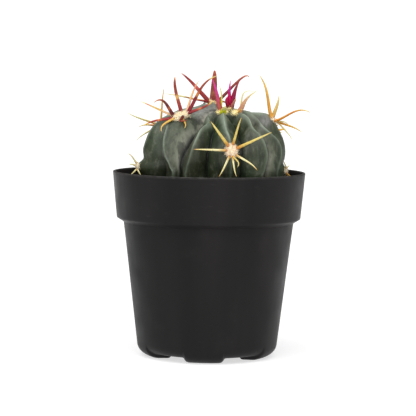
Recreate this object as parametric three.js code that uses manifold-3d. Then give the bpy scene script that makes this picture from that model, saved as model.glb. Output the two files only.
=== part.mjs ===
// A round ribbed cactus growing in a black plastic nursery pot. Millimetres, +Z up, the ground at
// z = 0, the pot's axis on Z, and the side that carries the star of straw spines facing -Y.
import * as THREE from "three";
import { mergeVertices } from "three/addons/utils/BufferGeometryUtils.js";
import Module from "manifold-3d";

const wasm = await Module();
wasm.setup();

// Pot: a tapered cup with a wide collar, on feet moulded flush with its wall
const POT_HEIGHT = 61.5;
const RIM_RADIUS = 32;
const COLLAR_FOOT = { radius: 30.6, z: 46.3 };
const COLLAR_CORNER = 0.35;
const WALL_TOP = { radius: 28.3, z: 44.85 };
const WALL_FOOT = { radius: 23.5, z: 4.9 };
const WALL = 0.9;
const LEDGE_RISE = { outer: 0.54, inner: 0.36 };
const LIP = 0.3;
const BASE_Z = 1.75;
const BASE_ROUND = 3.8;
const FOOT = { count: 5, width: 12.8, corner: 1.2, inner: 15.2, roundWide: 5.4, roundHigh: 4.2, turn: -2.6 };
const DRAIN = { radius: 2.8, ring: 12.3 };
const POT_SIDES = 50;
const SOIL_SIDES = 36;

// Clearance kept where one piece is seated in or on another
const SEAT = 0.3;

// Soil: gritty mix, a little below the collar's lip, with loose gravel on top
const SOIL_EDGE_Z = 49.4;
const SOIL_STEM_Z = 49.9;
const SOIL_MIDDLE_Z = 50.6;
const GRAVEL = { count: 40, inner: 24.2, outer: 28, sunk: 0.25 };
const STONE = { smallest: 0.7, largest: 1.5, narrow: 0.7, flat: 0.75 };

// Stem: a squat ribbed globe that leans a little towards the light
const STEM = { radius: 23.5, crown: 16, foot: 26, x: 1.75, z: 66.2, leanFront: 9, leanRight: 1.8 };
const STEM_ROUND = { crown: 2.58, foot: 2.6 };
const RIB_TURNS = [-80, -49, -20, 13, 45.5, 67.5, 95, 126, 157, 188, 214, 241];
const RIB = { depth: 4.8, span: 30, narrowest: 0.5, widest: 1.2, straight: 0.5, round: 2.2 };
const RIB_FACE_STEPS = [0, 0.13, 0.33, 0.5, 0.67, 0.87];
const ROW_STEP = 0.08;
const LAST_RIBBED_ROW = 1.6;
const FOOT_ROWS = [1.72, 1.86];

// How far the crests wander from those turns, in degrees, at even places down the ribs, and how far
// the groove after each crest lies off the middle, as a share of the way to the next crest
const WANDER = { first: 0.15, step: 0.15 };
const CREST_WANDER = [
  [-15, -15, -14, -10, -6, -2, 0],
  [0, -4, -10, -5.5, -1, 4.5, 14, 12, 4],
  [-1, 9.5, 4, 2.5, 1, -0.5, -3, -2, 0],
  [0, -2.5, -2, 0, 0, 0, 0, 0, 0],
  [0, 4, -1, 2, 2.3, 1.5, -3, -3, 0],
  [0, 7, -4, -2.5, 3.5, 2.8, -5, -4, 0],
  [0],
  [0, -3, 2, 4, 1, -3, -4, -2, 0],
  [0, 4, 3, -1, -4, -2, 2, 2, 0],
  [0, -2, -4, -2, 2, 4, 1, 0, 0],
  [0, 3, 0, -4, -3, 1, 4, 2, 0],
  [0, -3, -5, -7, -7, -5, -2, 0, 0],
];
const GROOVE_LEAN = [
  [0],
  [0.2, 0.2, 0.22, 0.2, 0.17, 0.08, -0.06, -0.05, 0],
  [-0.1, -0.14, -0.1, -0.11, -0.14, -0.12, -0.1, -0.05, 0],
  [0.15, 0.25, 0.14, 0.01, -0.05, -0.1, -0.08, -0.05, 0],
  [0],
  [0],
  [0],
  [0.06],
  [-0.1],
  [0.08],
  [0.12],
  [-0.06],
];

// The swelling of a crest under a bunch, how far it lies below it, and the dip above the bunch
const CHIN = { height: 1.1, below: 0.07, notch: 0.7 };
const CHIN_REACH = 0.15;
const NOTCH = { above: 0.1, reach: 0.055 };

// A rounded hump of the crown, in front of the bunch at its rear
const HUMP = { turn: 196, t: 0.14, height: 1.8, reach: 3.2 };

// Areole: an oval felt cushion on a rib's crest, out of which a bunch of spines grows. Its half
// width, half length and height, where a bunch has none of its own:
const OLD_PAD = [1.5, 1.6, 1.1];
const ROOT = { spread: 0.8, sunk: 0.4 };
const SPINE = { sides: 3, steps: 4, flat: 0.72, taper: 2.2 };
// Added to the way out of the rib to give the way that a spine's flat side faces
const FLAT_TURN = [0, -0.4, 0];

const PLASTIC = material(0x232323, 0.55);
const SOIL = material(0x3a2c20, 0.95);
const SKIN = material(0x4d5a46, 0.6);
const RED = material(0x96303a, 0.5);
const STRAW = material(0xe6d59a, 0.5);
const GOLD = material(0xe0a23c, 0.5);
const MAGENTA = material(0xb01478, 0.45);

// The bunches of spines: the rib, the place on it (0 at the crown's centre, 1 at the widest ring)
// and each spine as [tip x, y, z from the areole, sideways bow x, y, z, width].
const BUNCHES = [
  {
    name: "areole_star", rib: 3, t: 0.78, colour: STRAW,
    pad: [2.3, 2.6, 1.5],
    spines: [
      [-12.3, -2.2, 0.5, 0, 0, 0, 0.9], [-6.8, -2.6, 9.5, 0, 0, 0, 1.2],
      [3, -1.8, 10.8, -0.1, 0, 0.1, 0.95], [12.8, -2.4, 6.3, 0, 0, 0, 1.1],
      [8.3, -3.2, -6, 0.3, 0, 0.4, 0.85], [1.8, -5.5, -5, 0.9, 0, 0.3, 0.65],
      [1.7, -3.8, -8.1, -0.2, 0, 0, 0.75], [-4, -3.6, -8.2, 0.2, 0, 0, 0.85],
    ],
  },
  {
    name: "areole_left_shoulder", rib: 1, t: 0.34, colour: RED,
    pad: [2, 3.5, 1.8],
    spines: [
      [-2.1, -1.5, 12.9, -0.6, 0, 0, 1.4], [-9.1, -2, 4.2, 0.7, 0, 2.3, 1.4],
      [11.5, -1.5, 13.3, -1.2, 0, 1, 1.5], [10.2, -2.5, 4.9, 0.2, 0, -0.3, 1.3],
      [-12.3, -3, -3.2, 0, 0, 0.6, 1.3], [-13.3, 1, 4.7, 0, 0, 0, 1.05],
      [-6.3, -3.2, -5, -0.9, 0, 0.6, 1.05], [1.2, -3.4, -3.9, 0.7, 0, 0.3, 0.95],
      [2, -4.4, -1.1, -1.6, -0.6, -0.7, 1.1], [5.9, 3, 11.9, -0.4, 0, 0.3, 1],
    ],
  },
  {
    name: "areole_left_rear", rib: 11, t: 0.77, colour: GOLD,
    pad: [1.3, 1.3, 1],
    spines: [
      [1.1, -1, 12.7, -0.2, 0, 0, 1.1], [-11.1, -2, 4, 0, 0, -0.3, 1.1],
      [-7.5, -3, -0.8, 0, 0, 0.6, 1], [-8.3, -1.2, -5.5, 0, 0, 0.5, 1],
      [2.5, 8, 3, 0, 0.4, 0.4, 1.05], [1, 8.5, -3.5, 0, 0.7, 0, 0.9],
      [-1, 9, -1, 0, 0, 0.4, 1.15],
    ],
  },
  {
    name: "areole_crown_rear", rib: 9, t: 0.24, colour: RED,
    pad: [2.2, 1.5, 2],
    spines: [
      [-11, 1, 10, 0.2, 0, 0.3, 2], [0.4, 0, 11, 0.1, 0, 0, 2.7],
      [-9.6, -2, 2.2, 0, 0, -0.3, 1.1], [-16.6, -3, 3, 0, 0, 0.2, 1.1],
      [12.2, 1, 8.6, 1, 0, 2.6, 1.45], [-3.5, 9, -1, 0, 0.3, 0.5, 1.2],
      [5, 9, -0.5, 0, 0.3, 0.5, 1.2],
    ],
  },
  {
    name: "areole_crown_front", rib: 3, t: 0.15, colour: MAGENTA,
    chin: { height: 1.7, below: 0.07, notch: 0.7 }, pad: [2.35, 1.5, 1.1],
    spines: [
      [-3.5, -0.8, 11.1, 0.3, 0, 0.1, 1.9], [-1.1, 0.6, 8.7, 0.5, 0, 0, 0.8],
      [1, -3.3, 1.8, 0, 0, 0.2, 2.4],
    ],
  },
  {
    name: "areole_crown_right", rib: 4, t: 0.18, colour: RED,
    chin: { height: 1.5, below: 0.07, notch: 0.7 }, pad: [2.35, 1.5, 1.1],
    spines: [
      [7.1, -1, 7.5, -1.4, 0, -0.2, 2], [6.3, 2.5, 6.7, -2, 0, 1.9, 0.75],
      [2, -3, 1, 0, 0, 0.4, 0.7],
    ],
  },
  {
    name: "areole_crown_young", rib: 5, t: 0.075, colour: MAGENTA,
    chin: { height: 2.1, below: 0.07, notch: 0.7 }, pad: [1.8, 1.5, 1.1],
    spines: [
      [0.3, -0.5, 9.4, -0.3, 0, 0, 1.8], [3.6, 0.4, 9.8, -0.5, 0, 0.1, 2.3],
      [2.1, -1.4, 3.4, 0, 0, 0, 1.6], [2.2, 2.6, 6, 0, 0, 0, 1.5],
      [-0.6, -1.2, 4, -0.5, 0, 0, 2.4],
    ],
  },
  {
    name: "areole_right_shoulder", rib: 6, t: 0.51, colour: GOLD,
    chin: { height: 1.9, below: -0.08, notch: 0 }, pad: [1.2, 2, 1],
    spines: [
      [-5.1, -2, 15, 0.9, 0, 0.3, 1.55], [1.7, 1.5, 8.3, 0.4, 0, -0.1, 1.5],
      [12, -8, 2.7, -0.2, 0, 1.7, 1.25], [5, -3, -1.5, 0, 0, 0.6, 0.9],
      [9.6, -1.5, -4, 0.1, 0, 0.4, 1.1], [6.4, -2.5, -6.8, 0.3, 0, 0.2, 0.8],
      [-2, 8.5, 0.5, 0, 0.3, 0.4, 1.15],
    ],
  },
  {
    name: "areole_left_rim", rib: 0, t: 1.12, colour: STRAW,
    chin: { height: 2.2, below: -0.01, notch: 1.3 },
    spines: [
      [-3.3, -0.6, 4.3, 0.2, 0, 0.2, 0.95], [-2.5, -2, -3, 0, 0, 0, 0.85],
      [1, -2.8, -2.8, 0, 0, 0, 0.75], [-3, 2, 0.5, 0, 0, 0.2, 0.85],
    ],
  },
  {
    name: "areole_right_rim", rib: 6, t: 1.15, colour: GOLD,
    chin: { height: 0.5, below: 0.07, notch: 0.7 },
    spines: [
      [-0.6, -1.6, 3.4, 0, 0, 0, 0.85], [2.2, -1.6, -2, 0, 0, 0, 0.75],
      [1.4, 2.2, -2.2, 0, 0, 0, 0.75], [1.6, 2, 1.8, 0, 0, 0, 0.75],
    ],
  },
];

// Bunches that follow the plant's rule: a ring of spines and, above the rim, a hooked one inside it
const RULED = [
  { name: "areole_rib2_low", rib: 1, t: 1.34, reach: 4.2, ring: 5 },
  { name: "areole_rib3_low", rib: 2, t: 1.24, reach: 4.2, ring: 5 },
  { name: "areole_rib4_low", rib: 3, t: 1.36, reach: 4.2, ring: 5 },
  { name: "areole_rib5_low", rib: 4, t: 1.24, reach: 4.2, ring: 5 },
  { name: "areole_rib6_low", rib: 5, t: 1.36, reach: 4.2, ring: 5 },
  { name: "areole_rib8_middle", rib: 7, t: 0.78, reach: 5, ring: 7 },
  { name: "areole_rib8_low", rib: 7, t: 1.3, reach: 4.2, ring: 5 },
  { name: "areole_rib9_upper", rib: 8, t: 0.78, reach: 7, ring: 7 },
  { name: "areole_rib9_middle", rib: 8, t: 1.12, reach: 8, ring: 7 },
  { name: "areole_rib10_middle", rib: 9, t: 0.86, reach: 7.5, ring: 7 },
  { name: "areole_rib10_low", rib: 9, t: 1.36, reach: 4.2, ring: 5 },
  { name: "areole_rib11_upper", rib: 10, t: 0.8, reach: 7, ring: 7 },
  { name: "areole_rib11_middle", rib: 10, t: 1.13, reach: 8, ring: 7 },
  { name: "areole_rib12_low", rib: 11, t: 1.38, reach: 4.2, ring: 5 },
];
const RING = { lean: 62, swing: 8, shortest: 0.85, longest: 1.1, upper: 0.65, hook: 0.03 };
const RING_WIDTH = { low: 0.8, high: 0.95 };
const CENTRAL = { lean: 24, reach: 1.15, hook: 0.1, width: 1.25 };
// Under the rim, where the pot's wall is near, the bunches are small and fan upwards
const LOW_T = 1.15;
const LOW_FAN = 210;

function material(color, roughness) {
  return new THREE.MeshStandardMaterial({ color, roughness, metalness: 0 });
}

// Repeatable draws between 0 and 1
function drawsFrom(seed) {
  let state = seed;
  return () => {
    state = (state * 16807) % 2147483647;
    return state / 2147483647;
  };
}

function solidOf(geometry) {
  const bare = geometry.clone();
  bare.deleteAttribute("normal");
  bare.deleteAttribute("uv");
  const merged = mergeVertices(bare, 1e-4);
  return new wasm.Manifold(
    new wasm.Mesh({
      numProp: 3,
      vertProperties: merged.attributes.position.array,
      triVerts: new Uint32Array(merged.index.array),
    }),
  );
}

function geometryOf(solid) {
  const made = solid.getMesh();
  const geometry = new THREE.BufferGeometry();
  geometry.setAttribute("position", new THREE.BufferAttribute(made.vertProperties, 3));
  geometry.setIndex(new THREE.BufferAttribute(made.triVerts, 1));
  geometry.computeVertexNormals();
  return geometry;
}

function meshOf(name, solid, look) {
  const mesh = new THREE.Mesh(geometryOf(solid), look.clone());
  mesh.name = name;
  return mesh;
}

// A body turned about Z from its outline in radius and height
function turned(outline, sides) {
  const points = outline.map(([radius, z]) => new THREE.Vector2(radius, z));
  return solidOf(new THREE.LatheGeometry(points, sides).rotateX(Math.PI / 2));
}

// Points of an elliptical corner from one angle to another, in degrees
function corner(x, z, wide, high, from, to, steps) {
  return Array.from({ length: steps + 1 }, (_, i) => {
    const a = THREE.MathUtils.degToRad(from + ((to - from) * i) / steps);
    return [x + wide * Math.cos(a), z + high * Math.sin(a)];
  });
}

// Pot

const wallSlope = (WALL_TOP.radius - WALL_FOOT.radius) / (WALL_TOP.z - WALL_FOOT.z);
const wallTilt = Math.atan(wallSlope);
const wallTiltDegrees = THREE.MathUtils.radToDeg(wallTilt);
const wallRadius = (z) => WALL_FOOT.radius + wallSlope * (z - WALL_FOOT.z);
const roundZ = BASE_Z + BASE_ROUND;
const roundX = wallRadius(roundZ) - BASE_ROUND / Math.cos(wallTilt);

// The pot's inner face, drawn in by a clearance, from its upper edge to the floor's middle
function innerOutline(gap, top) {
  const inset = (WALL + gap) / Math.cos(wallTilt);
  const collarSlope = (RIM_RADIUS - COLLAR_FOOT.radius) / (POT_HEIGHT - COLLAR_FOOT.z);
  const ledgeZ = COLLAR_FOOT.z + LEDGE_RISE.outer + gap;
  const collarRadius = (z) => COLLAR_FOOT.radius + collarSlope * (z - COLLAR_FOOT.z) - WALL - gap;
  const reach = BASE_ROUND - WALL - gap;
  return [
    [collarRadius(top), top],
    [collarRadius(ledgeZ), ledgeZ],
    [WALL_TOP.radius - inset, WALL_TOP.z + LEDGE_RISE.inner + gap],
    ...corner(roundX, roundZ, reach, reach, -wallTiltDegrees, -90, 3),
    [0, roundZ - reach],
  ];
}

function potShell() {
  return turned(
    [
      [0, BASE_Z],
      ...corner(roundX, roundZ, BASE_ROUND, BASE_ROUND, -90, -wallTiltDegrees, 5),
      [WALL_TOP.radius, WALL_TOP.z],
      [COLLAR_FOOT.radius - COLLAR_CORNER, COLLAR_FOOT.z - COLLAR_CORNER],
      [COLLAR_FOOT.radius, COLLAR_FOOT.z],
      [RIM_RADIUS, POT_HEIGHT - LIP],
      [RIM_RADIUS - LIP, POT_HEIGHT],
      [RIM_RADIUS - WALL + LIP / 2, POT_HEIGHT],
      ...innerOutline(0, POT_HEIGHT - LIP),
    ],
    POT_SIDES,
  );
}

function potFeet() {
  const middle = BASE_ROUND - WALL / 2;
  const { roundWide, roundHigh } = FOOT;
  const ring = turned(
    [
      [FOOT.inner, 0],
      ...corner(wallRadius(roundHigh) - roundWide, roundHigh, roundWide, roundHigh, -90, 0, 5),
      ...corner(roundX, roundZ, middle, middle, -wallTiltDegrees, -90, 3),
      [FOOT.inner, roundZ - middle],
      [FOOT.inner, 0],
    ],
    POT_SIDES,
  );
  const half = FOOT.width / 2;
  const outline = new THREE.Shape();
  outline.moveTo(-half, roundZ);
  outline.lineTo(-half, FOOT.corner);
  outline.absarc(-half + FOOT.corner, FOOT.corner, FOOT.corner, Math.PI, 1.5 * Math.PI);
  outline.absarc(half - FOOT.corner, FOOT.corner, FOOT.corner, 1.5 * Math.PI, 2 * Math.PI);
  outline.lineTo(half, roundZ);
  const drawn = { depth: RIM_RADIUS, bevelEnabled: false, curveSegments: 4 };
  const block = new THREE.ExtrudeGeometry(outline, drawn).rotateX(Math.PI / 2);
  const blocks = Array.from({ length: FOOT.count }, (_, i) => {
    const turn = THREE.MathUtils.degToRad(FOOT.turn + (360 * i) / FOOT.count);
    return solidOf(block.clone().rotateZ(turn));
  });
  return ring.intersect(blocks.reduce((all, one) => all.add(one)));
}

function drainHoles() {
  const bore = new THREE.CylinderGeometry(DRAIN.radius, DRAIN.radius, 4 * BASE_Z, 20).rotateX(Math.PI / 2);
  const holes = Array.from({ length: FOOT.count }, (_, i) => {
    const turn = THREE.MathUtils.degToRad(FOOT.turn + (360 * (i + 0.5)) / FOOT.count);
    return solidOf(bore.clone().translate(0, -DRAIN.ring, BASE_Z).rotateZ(turn));
  });
  return holes.reduce((all, one) => all.add(one), solidOf(bore.clone().translate(0, 0, BASE_Z)));
}

const pot = potShell().add(potFeet()).subtract(drainHoles());

// Stem

// The globe's outline in its own upright frame: [radius, height above the widest ring]
function outlineAt(t) {
  if (t <= 1) {
    const a = (t * Math.PI) / 2;
    const power = 2 / STEM_ROUND.crown;
    return [STEM.radius * Math.sin(a) ** power, STEM.crown * Math.cos(a) ** power];
  }
  const down = Math.min(t - 1, 1);
  return [STEM.radius * Math.sqrt(1 - down ** STEM_ROUND.foot), -STEM.foot * down];
}

// Unit normal of that outline
function outlineNormal(t) {
  const step = 0.01;
  const [r0, z0] = outlineAt(Math.max(t - step, 0));
  const [r1, z1] = outlineAt(Math.min(t + step, 2));
  const size = Math.hypot(r1 - r0, z1 - z0);
  return [(z0 - z1) / size, (r1 - r0) / size];
}

const smooth = (from, to, value) => THREE.MathUtils.smoothstep(value, from, to);
const bell = (distance, reach) => Math.exp(-((distance / reach) ** 2));

// A smooth run through values that stand at even places down a rib
function wander(values, t) {
  const last = values.length - 1;
  const along = THREE.MathUtils.clamp((t - WANDER.first) / WANDER.step, 0, last);
  const first = Math.min(Math.floor(along), Math.max(last - 1, 0));
  const f = along - first;
  const near = [-1, 0, 1, 2].map((i) => values[THREE.MathUtils.clamp(first + i, 0, last)]);
  const [before, start, end, after] = near;
  const bend = 2 * before - 5 * start + 4 * end - after;
  return start + 0.5 * f * (end - before + f * (bend + f * (3 * start - before - 3 * end + after)));
}

const nextRib = (rib) => (rib + 1) % RIB_TURNS.length;
const ribTurn = (rib, t) => RIB_TURNS[rib] + wander(CREST_WANDER[rib], t);

// Degrees from a rib's crest to the next one
function faceSpan(rib, t) {
  return (ribTurn(nextRib(rib), t) - ribTurn(rib, t) + 360) % 360;
}

// 0 on a rib's crest and 1 in the groove, for the share of the way over the two faces between crests
function grooveShare(share) {
  const down = 1 - Math.abs(2 * share - 1);
  return RIB.straight * down + (1 - RIB.straight) * down ** RIB.round;
}

function grooveDepth(rib, t) {
  const wide = THREE.MathUtils.clamp(faceSpan(rib, t) / RIB.span, RIB.narrowest, RIB.widest);
  return RIB.depth * wide * smooth(0, 0.38, t) * (1 - smooth(1.35, 2, t));
}

// The share of the turn from one crest to the next for a share of the way over the two faces
function turnShare(rib, t, share) {
  const middle = 0.5 + wander(GROOVE_LEAN[rib], t);
  return share < 0.5 ? 2 * share * middle : middle + (2 * share - 1) * (1 - middle);
}

// How far a rib's crest swells into chins under its areoles and dips above them
function crestSwell(rib, t) {
  return ALL_BUNCHES.filter((bunch) => bunch.rib === rib).reduce((sum, bunch) => {
    const { height, below, notch } = bunch.chin ?? CHIN;
    const rise = height * bell(t - bunch.t - below, CHIN_REACH);
    const dip = notch * bell(t - bunch.t + NOTCH.above, NOTCH.reach);
    return sum + smooth(-0.15, 0.2, bunch.t) * (rise - dip);
  }, 0);
}

function crownHump(turn, t) {
  const place = (angle, [radius, height]) =>
    new THREE.Vector3(radius * Math.sin(angle), radius * Math.cos(angle), height);
  const own = place(THREE.MathUtils.degToRad(HUMP.turn), outlineAt(HUMP.t));
  return HUMP.height * bell(own.distanceTo(place(turn, outlineAt(t))), HUMP.reach);
}

// A point of the stem's skin: a place t on the outline, a rib, and the share of the way over the two
// faces to the next crest, moved out along the outline's normal by a swell
function skinPoint(t, rib, share, out = 0) {
  const turn = THREE.MathUtils.degToRad(ribTurn(rib, t) + faceSpan(rib, t) * turnShare(rib, t, share));
  const groove = grooveShare(share);
  const near = share < 0.5 ? rib : nextRib(rib);
  const swollen = crestSwell(near, t) * (1 - groove) ** 1.5 + crownHump(turn, t);
  const swell = out + swollen - grooveDepth(rib, t) * groove;
  const [radius, height] = outlineAt(t);
  const [outward, upward] = outlineNormal(t);
  const r = radius + outward * swell;
  const point = new THREE.Vector3(r * Math.sin(turn), -r * Math.cos(turn), height + upward * swell);
  return leaned(point).add(new THREE.Vector3(STEM.x, 0, STEM.z));
}

function leaned(vector) {
  return vector
    .applyAxisAngle(new THREE.Vector3(1, 0, 0), THREE.MathUtils.degToRad(STEM.leanFront))
    .applyAxisAngle(new THREE.Vector3(0, 1, 0), THREE.MathUtils.degToRad(STEM.leanRight));
}

// The whole stem, or the hole that it stands in when it is let out by a clearance
function stemSolid(out) {
  const rows = [];
  for (let t = ROW_STEP; t <= LAST_RIBBED_ROW; t += ROW_STEP) rows.push(t);
  rows.push(...FOOT_ROWS);
  const points = [skinPoint(0, 0, 0, out)];
  for (const t of rows)
    for (let rib = 0; rib < RIB_TURNS.length; rib += 1)
      for (const share of RIB_FACE_STEPS) points.push(skinPoint(t, rib, share, out));
  points.push(skinPoint(2, 0, 0, out));
  const around = RIB_TURNS.length * RIB_FACE_STEPS.length;
  const faces = [];
  for (let i = 0; i < around; i += 1) {
    const j = (i + 1) % around;
    faces.push(0, 1 + i, 1 + j);
    for (let row = 0; row + 1 < rows.length; row += 1) {
      const upper = 1 + row * around;
      const lower = upper + around;
      faces.push(upper + i, lower + i, lower + j, upper + i, lower + j, upper + j);
    }
    const last = 1 + (rows.length - 1) * around;
    faces.push(last + i, points.length - 1, last + j);
  }
  const geometry = new THREE.BufferGeometry().setFromPoints(points);
  geometry.setIndex(faces);
  return solidOf(geometry);
}

// Areoles and their spines

// Where a bunch sits: the middle of its pad, the way out, the way up the rib and the way across
function seatOf(bunch) {
  const step = 0.02;
  const at = skinPoint(bunch.t, bunch.rib, 0);
  const [outward, upward] = outlineNormal(bunch.t);
  const turn = THREE.MathUtils.degToRad(ribTurn(bunch.rib, bunch.t));
  const out = leaned(new THREE.Vector3(outward * Math.sin(turn), -outward * Math.cos(turn), upward));
  const up = skinPoint(bunch.t - step, bunch.rib, 0).sub(at).projectOnPlane(out).normalize();
  const across = new THREE.Vector3().crossVectors(up, out);
  return { at, out, up, across };
}

// A tapered, flattened spine that sets off straight from its root and hooks over towards its tip
function spineSolid(root, tip, bow, width, facing) {
  const centre = (along) =>
    root.clone().lerp(tip, along).addScaledVector(bow, (27 / 4) * along ** 2 * (1 - along));
  const cone = new THREE.ConeGeometry(1, 1, SPINE.sides, SPINE.steps);
  const spots = cone.attributes.position;
  for (let i = 0; i < spots.count; i += 1) {
    const along = spots.getY(i) + 0.5;
    const tangent = centre(along + 0.01).sub(centre(along - 0.01)).normalize();
    const across = new THREE.Vector3().crossVectors(tangent, facing).normalize();
    const over = new THREE.Vector3().crossVectors(across, tangent);
    const angle = Math.atan2(spots.getX(i), spots.getZ(i));
    const onAxis = Math.hypot(spots.getX(i), spots.getZ(i)) < 1e-6;
    const radius = onAxis ? 0 : (width / 2) * (1 - along ** SPINE.taper);
    const spot = centre(along).addScaledVector(across, radius * Math.sin(angle));
    spot.addScaledVector(over, radius * SPINE.flat * Math.cos(angle));
    spots.setXYZ(i, spot.x, spot.y, spot.z);
  }
  return solidOf(cone);
}

function padSolid(seat, [wide, long, high]) {
  const pad = new THREE.SphereGeometry(1, 8, 4).rotateX(Math.PI / 2).scale(wide, long, high);
  const basis = new THREE.Matrix4().makeBasis(seat.across, seat.up, seat.out).setPosition(seat.at);
  return solidOf(pad.applyMatrix4(basis));
}

// The spines of a bunch that follows the rule, in the same form as the ones written out above
function ruledSpines(bunch, seat, draw) {
  const low = bunch.t > LOW_T;
  const spines = [];
  const add = (clock, lean, reach, hook, width) => {
    const tilt = THREE.MathUtils.degToRad(lean);
    const way = seat.up.clone().applyAxisAngle(seat.out, -THREE.MathUtils.degToRad(clock));
    way.multiplyScalar(Math.sin(tilt) * reach).addScaledVector(seat.out, Math.cos(tilt) * reach);
    const bow = seat.out.clone().multiplyScalar(hook * reach);
    spines.push([...way.toArray(), ...bow.toArray(), width]);
  };
  for (let i = 0; i < bunch.ring; i += 1) {
    const share = low ? i / (bunch.ring - 1) - 0.5 : (i + 0.5) / bunch.ring;
    const clock = share * (low ? LOW_FAN : 360) + (draw() - 0.5) * RING.swing;
    const lean = RING.lean + (draw() - 0.5) * RING.swing;
    const upward = (1 + Math.cos(THREE.MathUtils.degToRad(clock))) / 2;
    const reach = bunch.reach * THREE.MathUtils.lerp(RING.shortest, RING.longest, draw());
    const cut = THREE.MathUtils.lerp(1, RING.upper, upward);
    add(clock, lean, reach * cut, RING.hook, low ? RING_WIDTH.low : RING_WIDTH.high);
  }
  if (!low) add(180, CENTRAL.lean, bunch.reach * CENTRAL.reach, CENTRAL.hook, CENTRAL.width);
  return spines;
}

function bunchSolid(bunch, seat, spines, seatedOn) {
  const pad = bunch.pad ?? OLD_PAD;
  const facing = seat.out.clone().add(new THREE.Vector3(...FLAT_TURN));
  const parts = spines.map(([x, y, z, bowX, bowY, bowZ, width]) => {
    const way = new THREE.Vector3(x, y, z);
    const tip = seat.at.clone().add(way);
    const heading = way.clone().normalize();
    const root = seat.at.clone();
    root.addScaledVector(seat.across, seat.across.dot(heading) * pad[0] * ROOT.spread);
    root.addScaledVector(seat.up, seat.up.dot(heading) * pad[1] * ROOT.spread);
    root.addScaledVector(heading, -ROOT.sunk).addScaledVector(seat.out, ROOT.sunk);
    return spineSolid(root, tip, new THREE.Vector3(bowX, bowY, bowZ), width, facing);
  });
  return parts.reduce((all, one) => all.add(one), padSolid(seat, pad)).subtract(seatedOn);
}

const RULED_COLOURS = [RED, STRAW, GOLD];
const ALL_BUNCHES = [
  ...BUNCHES,
  ...RULED.map((bunch, i) => ({ ...bunch, colour: RULED_COLOURS[i % RULED_COLOURS.length] })),
];

// Soil

function gravelSolids(draw) {
  return Array.from({ length: GRAVEL.count }, (_, i) => {
    const turn = (2 * Math.PI * (i + draw())) / GRAVEL.count;
    const radius = THREE.MathUtils.lerp(GRAVEL.inner, GRAVEL.outer, draw());
    const size = THREE.MathUtils.lerp(STONE.smallest, STONE.largest, draw() ** 2);
    const width = THREE.MathUtils.lerp(STONE.narrow, 1, draw());
    const stone = new THREE.IcosahedronGeometry(1, 0).rotateX(Math.PI * draw());
    stone.scale(size, size * width, size * STONE.flat).rotateZ(2 * Math.PI * draw());
    const z = SOIL_EDGE_Z + size * GRAVEL.sunk;
    return solidOf(stone.translate(radius * Math.cos(turn), radius * Math.sin(turn), z));
  });
}

function soilSolid() {
  const outline = innerOutline(SEAT, SOIL_EDGE_Z).reverse();
  const body = turned([...outline, [STEM.radius, SOIL_STEM_Z], [0, SOIL_MIDDLE_Z]], SOIL_SIDES);
  const gravelled = gravelSolids(drawsFrom(4127)).reduce((all, one) => all.add(one), body);
  return gravelled.subtract(stemSolid(SEAT));
}

// The whole plant in its pot

const group = new THREE.Group();
group.add(meshOf("pot", pot, PLASTIC));
group.add(meshOf("soil", soilSolid(), SOIL));
group.add(meshOf("stem", stemSolid(0), SKIN));
const stemAndGap = stemSolid(SEAT);
const ruleDraw = drawsFrom(90533);
for (const bunch of ALL_BUNCHES) {
  const seat = seatOf(bunch);
  const spines = bunch.spines ?? ruledSpines(bunch, seat, ruleDraw);
  group.add(meshOf(bunch.name, bunchSolid(bunch, seat, spines, stemAndGap), bunch.colour));
}

export default group;
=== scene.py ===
import math
from itertools import cycle

import bmesh
import bpy
import numpy as np
from mathutils import Matrix, Vector, noise


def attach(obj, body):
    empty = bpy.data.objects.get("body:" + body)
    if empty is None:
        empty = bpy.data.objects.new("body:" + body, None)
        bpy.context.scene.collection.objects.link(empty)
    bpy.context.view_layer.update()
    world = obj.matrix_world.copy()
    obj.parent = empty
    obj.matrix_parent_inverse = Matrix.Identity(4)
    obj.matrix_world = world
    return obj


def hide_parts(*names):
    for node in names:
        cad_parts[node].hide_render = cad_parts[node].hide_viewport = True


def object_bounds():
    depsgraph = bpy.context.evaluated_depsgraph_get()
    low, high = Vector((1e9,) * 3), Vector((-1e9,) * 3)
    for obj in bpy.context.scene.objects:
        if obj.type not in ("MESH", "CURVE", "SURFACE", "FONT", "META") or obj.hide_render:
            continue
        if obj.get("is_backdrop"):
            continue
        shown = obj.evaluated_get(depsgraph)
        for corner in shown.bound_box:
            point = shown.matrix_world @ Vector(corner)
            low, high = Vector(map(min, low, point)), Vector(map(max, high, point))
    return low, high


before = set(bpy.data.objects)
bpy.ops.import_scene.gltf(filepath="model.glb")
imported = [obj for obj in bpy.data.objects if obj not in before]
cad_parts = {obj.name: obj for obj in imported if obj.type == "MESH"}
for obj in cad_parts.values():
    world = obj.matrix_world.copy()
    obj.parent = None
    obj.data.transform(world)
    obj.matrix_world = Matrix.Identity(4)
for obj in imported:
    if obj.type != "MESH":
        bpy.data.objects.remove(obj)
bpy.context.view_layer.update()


# ---- Nursery pot ---------------------------------------------------------------------------------
# A thin black polypropylene pot, injection moulded in one piece: a tapered wall, a wide collar with
# a rounded lip, and five low feet moulded out of the rounded bottom, with drain holes between them.
MM = 0.001
POT_HEIGHT = 61.5
RIM_RADIUS = 32.0
COLLAR_FOOT_RADIUS = 30.6
COLLAR_FOOT_Z = 46.3
WALL_TOP_RADIUS = 28.3
WALL_TOP_Z = 44.85
WALL_FOOT_RADIUS = 23.5
WALL_FOOT_Z = 4.9
WALL = 0.9
LIP = 0.3
SHARP_EDGE = 40

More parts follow.
